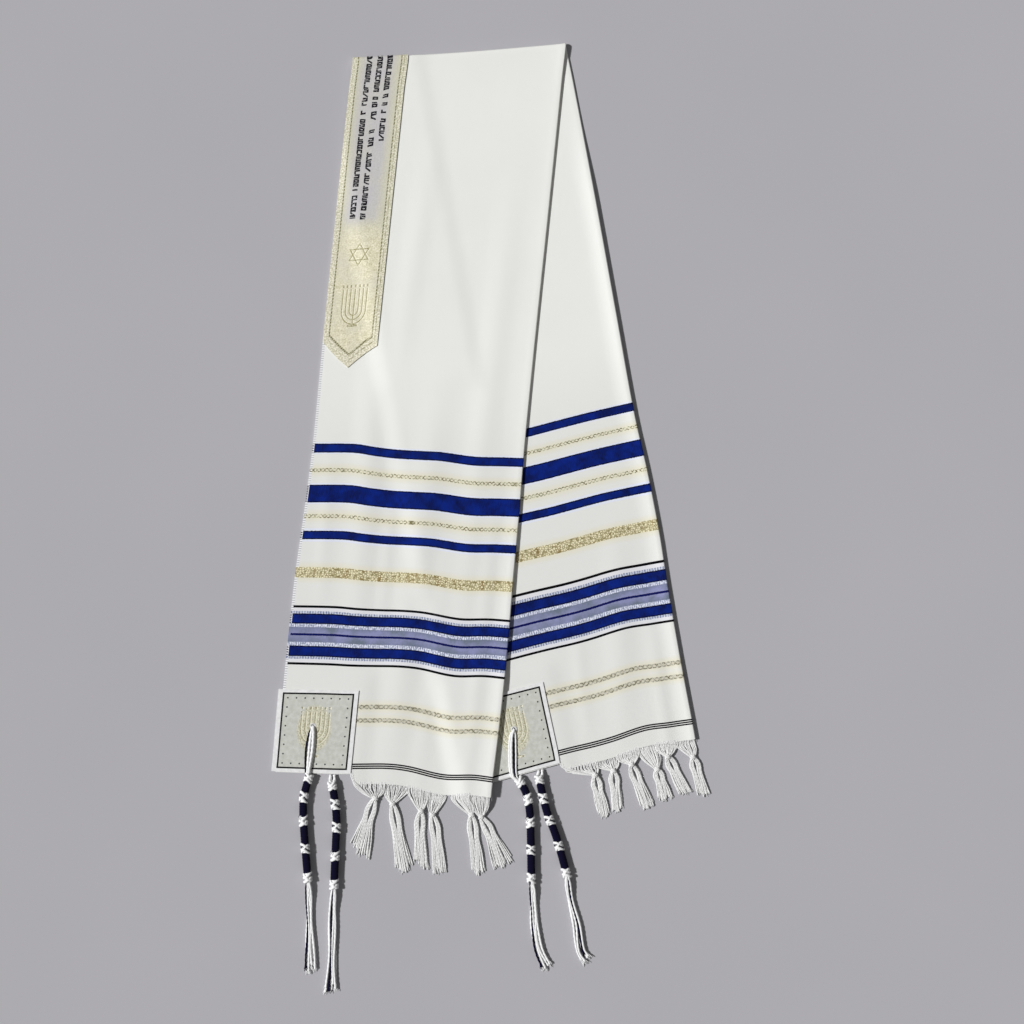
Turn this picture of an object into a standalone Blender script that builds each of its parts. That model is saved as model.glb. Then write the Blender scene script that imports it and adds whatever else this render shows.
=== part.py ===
"""A tallit, the fringed prayer shawl, folded and laid flat.

One woven cloth is folded in half lengthwise, so that it makes a doubled band with its two long edges
together on the left and a fold on the right. The band is then folded across at its middle, and its two
halves fan out downwards from that top fold: the front band lies on the rear band.

Metres, +Z up, the shawl's lower side on Z = 0. A place on a band is named by how far it lies across the
band from the open edges, how far it lies along the band from the top fold, and its lift, the height over
the middle of the doubled cloth, counted towards the outside of the top fold.
"""

import math

import bmesh
import bpy
from mathutils import Vector

# The cloth, folded lengthwise
BAND_WIDTH = 0.2626
WALL = 0.0010
GAP = 0.0003
LAYER_LIFT = (WALL + GAP) / 2
HALF_BAND = LAYER_LIFT + WALL / 2
EDGE_FOLD_LIFT = 0.0010
EDGE_OPENS_FROM = 0.240
# How many times the folded edge opens beyond its pressed height, and where along each band it does
EDGE_OPENING = {
    "front": {"more": 1.1, "along": (0.35, 0.80)},
    "rear": {"more": 1.5, "along": (0.08, 0.20)},
}
# The front band's corner at the folded edge and the hem curls up from what it lies on
CORNER_CURL = {"height": 0.0014, "across": (0.196, 0.2626), "along": (0.78, 0.91)}

# The top fold, from its left end
FOLD_LEFT = Vector((-0.1694, 0.5675))
FOLD_SLOPE = math.radians(3.7)
FOLD_PUFF = 0.0016
FOLD_PUFF_LENGTH = 0.030
# How far the fold is drawn in from the line that the bands are measured from, in millimetres
FOLD_DRAWN_IN = {"share": (0.0, 0.50, 1.0), "in": (5.8, 6.6, 4.2)}
FOLD_DRAWN_LENGTH = 0.050
BETWEEN_BANDS = 0.0005

# Each band: the length from the top fold to the first black line and the turn away from straight down,
# both at the open edge and at the folded edge, and the plain end below the black lines
BANDS = {
    "front": {"length": (0.872, 0.9065), "turn": (-6.1, -5.64), "corner_end": 0.012},
    "rear": {"length": (0.888, 0.845), "turn": (10.4, 10.4), "corner_end": 0.016},
}
HEM_END = 0.0246
CORNER_WIDTH = 0.0905
CORNER_STEP = 0.006

# How far each long edge wanders from a straight line, in millimetres to the right
EDGE_WANDER = {
    "share": (0.0, 0.22, 0.40, 0.55, 0.64, 0.73, 0.80, 0.90, 1.0),
    "front_open": (0.0, 0.0, 0.5, 1.7, 0.0, -2.8, -3.2, -2.7, -1.0),
    "front_folded": (0.0, -0.6, -1.5, -1.5, 0.0, 0.7, 1.8, 2.0, 0.0),
    "rear_open": (0.0, 0.0, 0.0, 0.0, 0.0, 0.0, 0.0, 0.8, 4.5),
    "rear_folded": (0.0, 1.5, 1.2, 0.9, 4.0, 4.7, 3.0, 2.1, 2.5),
}

# How far the crosswise threads wander towards the hem, in millimetres, at the hem and at the top stripe
THREAD_WANDER = {
    "share": (0.0, 0.20, 0.30, 0.40, 0.52, 0.61, 0.77, 0.90, 1.0),
    "front_stripe": (0.0, -3.2, -1.0, 0.3, 0.0, -0.3, 3.9, 2.4, 0.0),
    "front_hem": (0.0, -1.8, -2.9, -4.9, -6.9, -5.4, 1.5, -1.0, 0.0),
    "rear_stripe": (0.0,) * 9,
    "rear_hem": (4.0, 1.8, 0.7, 0.0, 0.0, -1.0, -5.0, -2.0, 0.0),
}
TOP_STRIPE = 0.393
PLAIN_ABOVE = 0.230

# Soft lengthwise ridges: their places across at the top end and at the hem end, and along from and to
RIDGES = (
    {"band": "front", "across": (0.060, 0.085), "along": (0.30, 0.79), "height": 0.0014, "half": 0.026},
    {"band": "front", "across": (0.150, 0.135), "along": (0.38, 0.96), "height": 0.0018, "half": 0.030},
    {"band": "front", "across": (0.215, 0.205), "along": (0.14, 0.80), "height": 0.0012, "half": 0.026},
    {"band": "rear", "across": (0.215, 0.170), "along": (0.58, 0.90), "height": 0.0012, "half": 0.026},
)

# Neckband and corner patches, sewn on the cloth
PAD_WALL = 0.0010
PAD_LIFT = HALF_BAND + GAP + PAD_WALL / 2
PAD_RISE = GAP + PAD_WALL
NECKBAND_WIDTH = 0.068
NECKBAND_SIDE = {"front": (0.3526, 0.3626), "rear": (0.362, 0.368)}
NECKBAND_TIP = {"front": 0.388, "rear": 0.394}
PATCH_OUT = 0.005
PATCH_TOP = {"front": 0.0902, "rear": 0.0875}
PATCH_BOTTOM_ROW = 1.92
EYELETS = {"front": (0.040, 0.046), "rear": (0.0435, 0.040)}
EYELET_RADIUS = 0.0034
EYELET_PIN = 0.0040

# Slopes of the cloth over what lies under it, from the start of each slope to its end
UNDER_NECKBAND = {"across": (0.071, 0.094), "along": (0.400, 0.430)}
UNDER_PATCH = {"across": (0.094, 0.119), "above_patch": (0.034, 0.006)}
OVER_REAR_BAND = {"across": (-0.052, -0.024), "beyond_end": (0.015, 0.045), "above_patch": (0.045, 0.018)}

# Columns across the band and rows along it, which every piece of cloth shares
COLUMNS = (0.0, 0.034, 0.068, CORNER_WIDTH, CORNER_WIDTH + CORNER_STEP,
           0.117, 0.141, 0.166, 0.191, 0.216, EDGE_OPENS_FROM)
ROWS = (0.006, 0.022, 0.05, 0.09, 0.14, 0.19, 0.24, 0.29, 0.34, 0.39, 0.445, 0.50, 0.56, 0.62,
        0.68, 0.74, 0.80, 0.86, 0.898, 0.945, 1.0)
FOLD_STEPS = 6
HAIRPIN_STEPS = 4

# Fringe: each bundle is gathered from a stretch of the hem into a knot and hangs on as loose strands.
# Across and below the first black line, in millimetres
FRINGE_STRIP = {"upper": 0.0028, "lower": 0.0052}
ROOT_DEPTH = 0.0014
FAN_STRANDS = 5
FAN_WIDTH = 0.0024
FAN_HUMP = {"upper": 0.0013, "lower": 0.0}
TAIL_WIDTH = 0.0030
STRAND_FOOT = 0.27
STRAND_TOP = 0.55
TAIL_SWING = 0.0030
TAIL_DROP = 0.0022
TAIL_POINTS = 5
KNOT_RADIUS = 0.0040
KNOT_HEIGHT = 0.0032
KNOT_RAISED = {"upper": 0.0025, "lower": 0.0}
ROOT_RADIUS = 0.0022
FAN_SIDES = (160, 20)
TAIL_SIDE = 34
BUNDLES = (
    {"layer": "front_upper", "fan": (103, 131), "knot": (122.9, 42.5),
     "tails": ((100.1, 97), (107, 103), (116.5, 111), (123.1, 117))},
    {"layer": "front_lower", "fan": (134, 160), "knot": (144.4, 47.8),
     "tails": ((160.0, 127), (166.5, 129.5), (173.0, 127.8), (178.5, 121))},
    {"layer": "front_upper", "fan": (163, 186), "knot": (179.5, 49.5),
     "tails": ((187.0, 115), (192.0, 121), (197.5, 119))},
    {"layer": "front_lower", "fan": (189, 205), "knot": (193.7, 50.5),
     "tails": ((203.0, 122), (209.5, 119.5), (218.3, 122.5))},
    {"layer": "front_upper", "fan": (217, 234), "knot": (240.5, 49.3),
     "tails": ((249.8, 119.2), (255.5, 123), (262.0, 116))},
    {"layer": "front_lower", "fan": (237, 258), "knot": (252.5, 50.5),
     "tails": ((283.9, 110.7), (290.2, 112.5), (297.3, 110.5))},
    {"layer": "rear_upper", "fan": (104, 134), "knot": (130.7, 39.8),
     "tails": ((126.5, 88), (132.3, 91.2), (138.6, 91.9))},
    {"layer": "rear_lower", "fan": (137, 162), "knot": (154.2, 40.5),
     "tails": ((145.6, 87.6), (150.5, 90), (156.2, 87.7))},
    {"layer": "rear_upper", "fan": (165, 188), "knot": (177.7, 40.1),
     "tails": ((181.9, 96.6), (188.0, 99), (195.4, 98.4))},
    {"layer": "rear_lower", "fan": (191, 211), "knot": (208.3, 55.0),
     "tails": ((204.9, 93.4), (211.5, 95), (221.1, 93.1))},
    {"layer": "rear_upper", "fan": (214, 236), "knot": (224.0, 41.2),
     "tails": ((232.0, 87.4), (238.0, 89), (244.1, 88))},
    {"layer": "rear_lower", "fan": (239, 258), "knot": (254.8, 46.4),
     "tails": ((254.0, 92), (259.5, 95.5), (266.2, 94))},
)

# Tzitzit: knots and windings down each stem, with their lengths
STEM_KNOT_RADIUS = 0.0058
STEM_NECK_RADIUS = 0.0043
STEM_WINDING_RADIUS = 0.0050
STEM_PARTS = (
    ("knot", 0.0090), ("winding", 0.0123), ("knot", 0.0140), ("winding", 0.0150), ("knot", 0.0130),
    ("winding", 0.0220), ("knot", 0.0120), ("winding", 0.0230), ("knot", 0.0120),
)
LOOP_RADIUS = 0.0019
LOOP_SPREAD = 0.0022
HEM_CLEARANCE = 0.0010
# From the eyelet down over the patch: share of the way to the patch's end, spread, rise and size
EYELET_LOOP = (
    {"way": 0.00, "spread": 0.55, "rise": 0.20, "size": 0.50},
    {"way": 0.03, "spread": 0.55, "rise": 0.83, "size": 0.55},
    {"way": 0.13, "spread": 0.90, "rise": 1.00, "size": 1.00},
    {"way": 0.55, "spread": 1.25, "rise": 1.00, "size": 1.00},
    {"way": 1.00, "spread": 1.10, "rise": 1.00, "size": 1.00},
)
LOOSE_COUNT = 8
LOOSE_RAGGED = 0.0110
LOOSE_WIDTH = 0.0025
LOOSE_PITCH = 1.12
LOOSE_POINTS = 6
FLOOR_CLEARANCE = 0.0004
# Routes over the floor, in millimetres to the right of the top fold's left end and down from it: the stem
# from its first knot to its last, and the middle of the loose strands from the last knot to their ends
TZITZIT = {
    "tzitzit_front_upper": {
        "stem": ((-53.0, 882.6), (-59.5, 907.6), (-60.7, 928.6), (-59.0, 960.6), (-54.7, 1014.1)),
        "loose": ((-53.7, 1036.6), (-52.5, 1085.6), (-51.6, 1126.6)),
        "loop_from": "front_eyelet",
    },
    "tzitzit_front_lower": {
        "stem": ((-25.8, 891.1), (-22.1, 912.6), (-19.8, 937.2), (-20.8, 968.0), (-23.1, 1022.6)),
        "loose": ((-24.7, 1049.6), (-25.7, 1097.6), (-27.0, 1151.6)),
        "loop_from": "front_hem",
        "across": 0.0690,
    },
    "tzitzit_rear_upper": {
        "stem": ((203.3, 887.1), (213.5, 905.6), (217.5, 928.6), (218.7, 959.4), (219.5, 1015.6)),
        "loose": ((222.5, 1042.6), (223.5, 1070.6), (228.5, 1095.9), (240.8, 1121.7)),
        "loop_from": "rear_eyelet",
    },
    "tzitzit_rear_lower": {
        "stem": ((228.5, 884.6), (232.5, 903.6), (238.5, 927.6), (250.0, 958.6), (264.1, 1008.6)),
        "loose": ((266.5, 1030.6), (275.0, 1064.6), (280.0, 1098.6), (289.5, 1112.6)),
        "loop_from": "rear_hem",
        "across": 0.0655,
    },
}


def ease(value, start, stop):
    """0 at start and 1 at stop, with a smooth passage between."""
    share = min(max((value - start) / (stop - start), 0.0), 1.0)
    return share * share * (3.0 - 2.0 * share)


def mix(pair, share):
    return pair[0] + (pair[1] - pair[0]) * share


def table_value(table, column, share):
    """A smooth curve through one column of a table."""
    shares = table["share"]
    values = table[column]
    share = min(max(share, shares[0]), shares[-1])
    last = len(shares) - 1
    left = max(i for i in range(last) if shares[i] <= share)

    def slope(i):
        below = max(i - 1, 0)
        above = min(i + 1, last)
        return (values[above] - values[below]) / (shares[above] - shares[below])

    span = shares[left + 1] - shares[left]
    t = (share - shares[left]) / span
    return (
        values[left] * (1 + 2 * t) * (1 - t) ** 2
        + slope(left) * span * t * (1 - t) ** 2
        + values[left + 1] * t * t * (3 - 2 * t)
        + slope(left + 1) * span * t * t * (t - 1)
    )


def band_length(band, across):
    return mix(BANDS[band]["length"], across / BAND_WIDTH)


def end_length(band, across):
    """The plain cloth below the black lines, shorter where the corner patch covers it."""
    step = ease(across, CORNER_WIDTH, CORNER_WIDTH + CORNER_STEP)
    return mix((BANDS[band]["corner_end"], HEM_END), step)


def along(band, across, row):
    """Rows 0 to 1 run from the top fold to the first black line, and rows 1 to 2 on to the cloth's end."""
    return min(row, 1.0) * band_length(band, across) + max(row - 1.0, 0.0) * end_length(band, across)


def fold_foot(across):
    return FOLD_LEFT + across * Vector((math.cos(FOLD_SLOPE), math.sin(FOLD_SLOPE)))


def drawn_in(across, distance):
    """The first stretch of both bands is drawn in below the line that they are measured from."""
    depth = table_value(FOLD_DRAWN_IN, "in", across / BAND_WIDTH) / 1000
    depth *= 1.0 - ease(distance, 0.0, FOLD_DRAWN_LENGTH)
    return depth * Vector((math.sin(FOLD_SLOPE), -math.cos(FOLD_SLOPE)))


def plan(band, across, distance):
    """Where a place on a band lies on the floor, x and y."""
    share = across / BAND_WIDTH
    row = distance / band_length(band, across)
    turn = math.radians(mix(BANDS[band]["turn"], share))
    wander = mix(
        (
            table_value(EDGE_WANDER, band + "_open", row),
            table_value(EDGE_WANDER, band + "_folded", row),
        ),
        share,
    )
    to_hem = band_length(band, across) - distance
    near_hem = 1.0 - ease(to_hem, 0.0, TOP_STRIPE)
    fade = 1.0 - ease(to_hem, TOP_STRIPE, TOP_STRIPE + PLAIN_ABOVE)
    slip = near_hem * table_value(THREAD_WANDER, band + "_hem", share)
    slip += (1.0 - near_hem) * fade * table_value(THREAD_WANDER, band + "_stripe", share)
    down = distance + slip / 1000
    return fold_foot(across) + drawn_in(across, distance) + Vector(
        (down * math.sin(turn) + wander / 1000, -down * math.cos(turn))
    )


def on_rear_band(point):
    """The nearest rear band's across and along of a floor point, taking its edges as straight."""
    turn = math.radians(BANDS["rear"]["turn"][0])
    fold = Vector((math.cos(FOLD_SLOPE), math.sin(FOLD_SLOPE)))
    down = Vector((math.sin(turn), -math.cos(turn)))
    offset = point - FOLD_LEFT
    area = fold.x * down.y - fold.y * down.x
    across = (offset.x * down.y - offset.y * down.x) / area
    distance = (fold.x * offset.y - fold.y * offset.x) / area
    return across, distance


def ridge_height(band, across, distance):
    total = 0.0
    for ridge in RIDGES:
        if ridge["band"] != band:
            continue
        start, stop = ridge["along"]
        share = (distance - start) / (stop - start)
        if not 0.0 < share < 1.0:
            continue
        side = abs(across - mix(ridge["across"], share)) / ridge["half"]
        total += ridge["height"] * math.sin(math.pi * share) * (1.0 - ease(side, 0.0, 1.0))
    return total


def patch_rise(band, across, distance):
    """The height that a patch under the band gives it."""
    top = band_length(band, across) - PATCH_TOP[band]
    start, stop = UNDER_PATCH["above_patch"]
    beside = 1.0 - ease(across, *UNDER_PATCH["across"])
    return PAD_RISE * beside * ease(distance, top - start, top - stop)


def edge_opening(band, across, distance):
    """How many times wider apart than pressed flat the two layers stand, near the folded edge."""
    opening = EDGE_OPENING[band]
    beside = ease(across, EDGE_OPENS_FROM, BAND_WIDTH - EDGE_FOLD_LIFT)
    return 1.0 + opening["more"] * beside * ease(distance, *opening["along"])


def edge_fold_rise(band, across, distance):
    """The folded edge is rounder than the band is thick, and rests on what the band lies on."""
    apart = EDGE_FOLD_LIFT * edge_opening(band, across, distance) - LAYER_LIFT
    return apart * ease(across, EDGE_OPENS_FROM, BAND_WIDTH - EDGE_FOLD_LIFT)


def corner_curl(across, distance):
    curl = CORNER_CURL
    return curl["height"] * ease(across, *curl["across"]) * ease(distance, *curl["along"])


def rear_height(across, distance):
    """The middle of the doubled rear band over the floor."""
    beside = 1.0 - ease(across, *UNDER_NECKBAND["across"])
    above = 1.0 - ease(distance, *UNDER_NECKBAND["along"])
    rise = max(PAD_RISE * beside * above, patch_rise("rear", across, distance))
    rounding = edge_fold_rise("rear", across, distance)
    return HALF_BAND + rise + rounding + ridge_height("rear", across, distance)


def front_height(across, distance):
    """The middle of the doubled front band, which lies on the rear band and on the floor left of it."""
    rear_across, rear_along = on_rear_band(plan("front", across, distance))
    beside = ease(rear_across, *OVER_REAR_BAND["across"])
    end = band_length("rear", 0.0) + BANDS["rear"]["corner_end"]
    start, stop = OVER_REAR_BAND["beyond_end"]
    before = 1.0 - ease(rear_along, end + start, end + stop)
    top = band_length("rear", 0.0) - PATCH_TOP["rear"]
    start, stop = OVER_REAR_BAND["above_patch"]
    patch = PAD_RISE * ease(rear_along, top - start, top - stop)
    stack = rear_height(max(rear_across, 0.0), rear_along) + HALF_BAND + BETWEEN_BANDS + patch
    puff = FOLD_PUFF * math.exp(-distance / FOLD_PUFF_LENGTH)
    own = patch_rise("front", across, distance) + ridge_height("front", across, distance)
    own += edge_fold_rise("front", across, distance) + corner_curl(across, distance)
    return HALF_BAND + beside * before * stack + puff + own


def shawl_point(station, across, lift):
    """A place on the folded shawl. A station is (band, row), or ("fold", turn) round the top fold."""
    kind, value = station
    if kind != "fold":
        distance = along(kind, across, value)
        flat = plan(kind, across, distance)
        lift *= edge_opening(kind, across, distance)
        if kind == "front":
            return Vector((flat.x, flat.y, front_height(across, distance) + lift))
        return Vector((flat.x, flat.y, rear_height(across, distance) - lift))
    upper = front_height(across, 0.0)
    lower = rear_height(across, 0.0)
    radius = (upper - lower) / 2 + lift
    out = radius * math.sin(value)
    foot = fold_foot(across) + drawn_in(across, 0.0)
    return Vector(
        (
            foot.x - out * math.sin(FOLD_SLOPE),
            foot.y + out * math.cos(FOLD_SLOPE),
            (upper + lower) / 2 + radius * math.cos(value),
        )
    )


def stations():
    """Every row of the cloth, from the rear hem over the top fold to the front hem."""
    rear = [("rear", 2.0), ("rear", PATCH_BOTTOM_ROW)] + [("rear", row) for row in reversed(ROWS)]
    fold = [("fold", math.pi * (1.0 - i / FOLD_STEPS)) for i in range(FOLD_STEPS + 1)]
    front = [("front", row) for row in ROWS] + [("front", PATCH_BOTTOM_ROW), ("front", 2.0)]
    return rear + fold + front


def collection(name, hidden=False):
    made = bpy.data.collections.new(name)
    made.hide_render = hidden
    bpy.context.scene.collection.children.link(made)
    return made


def material(name, colour, roughness):
    made = bpy.data.materials.new(name)
    made.use_nodes = True
    shader = made.node_tree.nodes["Principled BSDF"]
    shader.inputs["Base Color"].default_value = (*colour, 1.0)
    shader.inputs["Roughness"].default_value = roughness
    shader.inputs["Metallic"].default_value = 0.0
    return made


def object_of(name, mesh, home, finish=None):
    made = bpy.data.objects.new(name, mesh)
    home.objects.link(made)
    if finish:
        mesh.materials.append(finish)
    if home.hide_render:
        made.hide_render = True
        made.display_type = "WIRE"
    return made


def sheet(name, grid, wall, home, finish, turned_at=None):
    """An open surface through rows of points, made a wall with Solidify.

    From the column turned_at on, the sheet runs back over or under itself. Its faces are split along the
    same diagonal as those of the layer that they lie on, so that the layers keep the same gap everywhere.
    """
    shape = bmesh.new()
    rows = [[shape.verts.new(point) for point in row] for row in grid]
    for near, far in zip(rows, rows[1:]):
        for i in range(len(near) - 1):
            a, b, c, d = near[i], near[i + 1], far[i + 1], far[i]
            if turned_at is None or i < turned_at:
                shape.faces.new((a, b, c))
                shape.faces.new((a, c, d))
            else:
                shape.faces.new((a, b, d))
                shape.faces.new((b, c, d))
    mesh = bpy.data.meshes.new(name)
    shape.to_mesh(mesh)
    shape.free()
    made = object_of(name, mesh, home, finish)
    solidify = made.modifiers.new("wall", "SOLIDIFY")
    solidify.thickness = wall
    solidify.offset = 0.0
    return made


def curve_mesh(name, routes, profile=None):
    """Closed tubes along routes of (point, size), as one mesh. The size is the width, or the radius."""
    curve = bpy.data.curves.new(name, "CURVE")
    curve.dimensions = "3D"
    curve.twist_mode = "Z_UP"
    curve.use_fill_caps = True
    if profile:
        curve.bevel_mode = "OBJECT"
        curve.bevel_object = profile
    else:
        curve.bevel_depth = 1.0
        curve.bevel_resolution = 2
    for route in routes:
        spline = curve.splines.new("POLY")
        spline.points.add(len(route) - 1)
        for knot, (point, size) in zip(spline.points, route):
            knot.co = (*point, 1.0)
            knot.radius = size
    holder = bpy.data.objects.new(name, curve)
    bpy.context.scene.collection.objects.link(holder)
    graph = bpy.context.evaluated_depsgraph_get()
    mesh = bpy.data.meshes.new_from_object(holder.evaluated_get(graph))
    bpy.data.objects.remove(holder)
    bpy.data.curves.remove(curve)
    shape = bmesh.new()
    shape.from_mesh(mesh)
    bmesh.ops.remove_doubles(shape, verts=shape.verts, dist=0.000002)
    bmesh.ops.recalc_face_normals(shape, faces=shape.faces)
    shape.to_mesh(mesh)
    shape.free()
    if not profile:
        mesh.shade_smooth()
    return mesh


def strand_profile(home):
    """The three-sided section of a strand, one unit wide, lying on its flat side."""
    curve = bpy.data.curves.new("strand_profile", "CURVE")
    curve.dimensions = "2D"
    spline = curve.splines.new("POLY")
    spline.points.add(2)
    for point, (x, y) in zip(spline.points, ((-0.5, -STRAND_FOOT), (0.5, -STRAND_FOOT), (0.0, STRAND_TOP))):
        point.co = (x, y, 0.0, 1.0)
    spline.use_cyclic_u = True
    return object_of("strand_profile", curve, home)


def strand(start, stop, count, width, swing, hump=0.0):
    """A route of points and widths that swings sideways and up on its way, and thins at its end."""
    run = stop - start
    across = Vector((-run.y, run.x, 0.0)).normalized()
    route = []
    for i in range(count):
        share = i / (count - 1)
        bow = 4.0 * share * (1.0 - share)
        point = start + run * share + across * swing * bow + Vector((0.0, 0.0, hump * bow))
        route.append((point, width if i < count - 1 else width * 0.75))
    return route


def knot_side(knot, degrees):
    """A place inside a knot, towards the given side in plan."""
    turn = math.radians(degrees)
    return knot + ROOT_RADIUS * Vector((math.cos(turn), math.sin(turn), 0.0))


def union(base, name, meshes, home):
    """Fuses closed meshes into a base piece, all in one Boolean."""
    shape = bmesh.new()
    for mesh in meshes:
        shape.from_mesh(mesh)
        bpy.data.meshes.remove(mesh)
    joined = bpy.data.meshes.new(name)
    shape.to_mesh(joined)
    shape.free()
    helper = object_of(name, joined, home)
    boolean = base.modifiers.new("fused", "BOOLEAN")
    boolean.operation = "UNION"
    boolean.object = helper
    boolean.use_self = True


def ball(centre, radius, height):
    shape = bmesh.new()
    bmesh.ops.create_uvsphere(shape, u_segments=8, v_segments=5, radius=radius)
    for vert in shape.verts:
        vert.co.z *= height / radius
        vert.co += centre
    mesh = bpy.data.meshes.new("knot")
    shape.to_mesh(mesh)
    shape.free()
    mesh.shade_smooth()
    return mesh


def make_cloth(home, cutters, finish):
    """One cloth: the outer layer from its neck edge to the folded edge, and the inner layer back."""
    outer = [(across, LAYER_LIFT) for across in COLUMNS]
    radius = EDGE_FOLD_LIFT
    hairpin = []
    for i in range(HAIRPIN_STEPS + 1):
        turn = math.pi * i / HAIRPIN_STEPS
        hairpin.append((BAND_WIDTH - radius * (1.5 - math.sin(turn)), radius * math.cos(turn)))
    inner = [(across, -LAYER_LIFT) for across in reversed(COLUMNS)]
    section = outer + hairpin + inner
    grid = [[shawl_point(station, across, lift) for across, lift in section] for station in stations()]
    cloth = sheet("shawl_cloth", grid, WALL, home, finish, turned_at=len(section) // 2)
    for cutter in cutters.values():
        cut = cloth.modifiers.new("eyelet", "BOOLEAN")
        cut.operation = "DIFFERENCE"
        cut.object = cutter


def make_eyelet_cutters(home):
    """A short round pin through each layer's eyelet and its patch, which stops in the gap between layers."""
    cutters = {}
    for band, (across, above) in EYELETS.items():
        row = (band_length(band, across) - above) / band_length(band, across)
        middle = shawl_point((band, row), across, 0.0)
        for layer, side in (("upper", 1.0), ("lower", -1.0)):
            place = middle + Vector((0.0, 0.0, side * EYELET_PIN / 2))
            bpy.ops.mesh.primitive_cylinder_add(
                vertices=8, radius=EYELET_RADIUS, depth=EYELET_PIN, location=place
            )
            pin = bpy.context.object
            pin.name = "eyelet_" + band + "_" + layer
            for old_home in pin.users_collection:
                old_home.objects.unlink(pin)
            home.objects.link(pin)
            pin.hide_render = True
            pin.display_type = "WIRE"
            cutters[band + "_" + layer] = pin
    return cutters


def make_neckband(home, finish):
    """A strip with pointed ends along the middle of the neck edge, over the top fold."""
    columns = [across for across in COLUMNS if across <= NECKBAND_WIDTH]
    grid = []

    def end_row(band, share):
        points = []
        for across in columns:
            side = mix(NECKBAND_SIDE[band], across / NECKBAND_WIDTH)
            middle = 1.0 - abs(2.0 * across / NECKBAND_WIDTH - 1.0)
            distance = side + share * middle * (NECKBAND_TIP[band] - side)
            row = distance / band_length(band, across)
            points.append(shawl_point((band, row), across, PAD_LIFT))
        return points

    last_row = {band: NECKBAND_SIDE[band][0] / BANDS[band]["length"][0] - 0.01 for band in BANDS}
    inside = [s for s in stations() if s[0] == "fold" or s[1] < last_row[s[0]]]
    grid.append(end_row("rear", 1.0))
    grid += [[shawl_point(station, across, PAD_LIFT) for across in columns] for station in inside]
    grid.append(end_row("front", 1.0))
    sheet("atarah_neckband", grid, PAD_WALL, home, finish)


def make_patch(name, band, lift, cutter, home, finish):
    """A square corner patch, sewn on over the cloth's corner, with its eyelet."""
    columns = [-PATCH_OUT] + [across for across in COLUMNS if 0.0 < across <= CORNER_WIDTH]
    top = 1.0 - PATCH_TOP[band] / band_length(band, 0.0)
    rows = [top] + [row for row in ROWS if row > top + 0.01] + [PATCH_BOTTOM_ROW]
    grid = [[shawl_point((band, row), across, lift) for across in columns] for row in rows]
    patch = sheet(name, grid, PAD_WALL, home, finish)
    cut = patch.modifiers.new("eyelet", "BOOLEAN")
    cut.operation = "DIFFERENCE"
    cut.object = cutter


def below_hem(band, across, below):
    """A floor place in band terms: across, and below the first black line, both in metres."""
    return plan(band, across, band_length(band, across) + below)


def make_fringe(layer, home, helpers, profile, finish):
    """A narrow strip just off the cloth's end, with fans, knots and loose strands fused to it."""
    band, level = layer.split("_")
    outside = 1.0 if (band == "front") == (level == "upper") else -1.0
    lift = outside * LAYER_LIFT
    columns = [across for across in COLUMNS if across > CORNER_WIDTH + CORNER_STEP / 2] + [BAND_WIDTH - 0.004]

    def strip_point(across, beyond):
        at_hem = shawl_point((band, 2.0), across, lift)
        flat = below_hem(band, across, end_length(band, across) + beyond)
        return Vector((flat.x, flat.y, at_hem.z))

    depth = FRINGE_STRIP[level]
    grid = [[strip_point(across, beyond) for across in columns] for beyond in (GAP, depth)]
    strip = sheet("fringe_" + layer, grid, WALL, home, finish)
    strand_low = FLOOR_CLEARANCE + STRAND_FOOT * TAIL_WIDTH
    fan_low = FLOOR_CLEARANCE + STRAND_FOOT * FAN_WIDTH
    pieces = []
    fans = []
    tails = []
    for bundle in BUNDLES:
        if bundle["layer"] != layer:
            continue
        flat = below_hem(band, bundle["knot"][0] / 1000, bundle["knot"][1] / 1000)
        knot = Vector((flat.x, flat.y, FLOOR_CLEARANCE + KNOT_HEIGHT + KNOT_RAISED[level]))
        pieces.append(ball(knot, KNOT_RADIUS, KNOT_HEIGHT))
        for i in range(FAN_STRANDS):
            share = i / (FAN_STRANDS - 1)
            start = strip_point(mix(bundle["fan"], share) / 1000, depth - ROOT_DEPTH)
            start.z = max(start.z, fan_low)
            stop = knot_side(knot, mix(FAN_SIDES, share))
            fans.append(strand(start, stop, 3, FAN_WIDTH, 0.0, FAN_HUMP[level]))
        count = len(bundle["tails"])
        for i, (across, below) in enumerate(bundle["tails"]):
            flat = below_hem(band, across / 1000, below / 1000)
            stop = Vector((flat.x, flat.y, strand_low))
            root = knot_side(knot, 270 + TAIL_SIDE * (i - (count - 1) / 2))
            swing = TAIL_SWING * math.sin(2.1 * i + 1.3 * len(tails))
            tail = strand(root, stop, TAIL_POINTS, TAIL_WIDTH, swing)
            for step, (point, _) in enumerate(tail[1:], 1):
                point.z = max(strand_low, root.z - step * TAIL_DROP)
            tails.append(tail)
    pieces.append(curve_mesh("fans", fans, profile))
    pieces.append(curve_mesh("tails", tails, profile))
    union(strip, "strands_" + layer, pieces, helpers)


def floor_place(right, down, height):
    return Vector((FOLD_LEFT.x + right / 1000, FOLD_LEFT.y - down / 1000, height))


def smooth_route(points, count):
    """Evenly spread points on a smooth curve through a few given ones."""
    shares = [0.0]
    for near, far in zip(points, points[1:]):
        shares.append(shares[-1] + (far - near).length)
    table = {"share": [share / shares[-1] for share in shares]}
    for axis in range(3):
        table[axis] = [point[axis] for point in points]
    return [
        Vector([table_value(table, axis, i / (count - 1)) for axis in range(3)]) for i in range(count)
    ]


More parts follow.
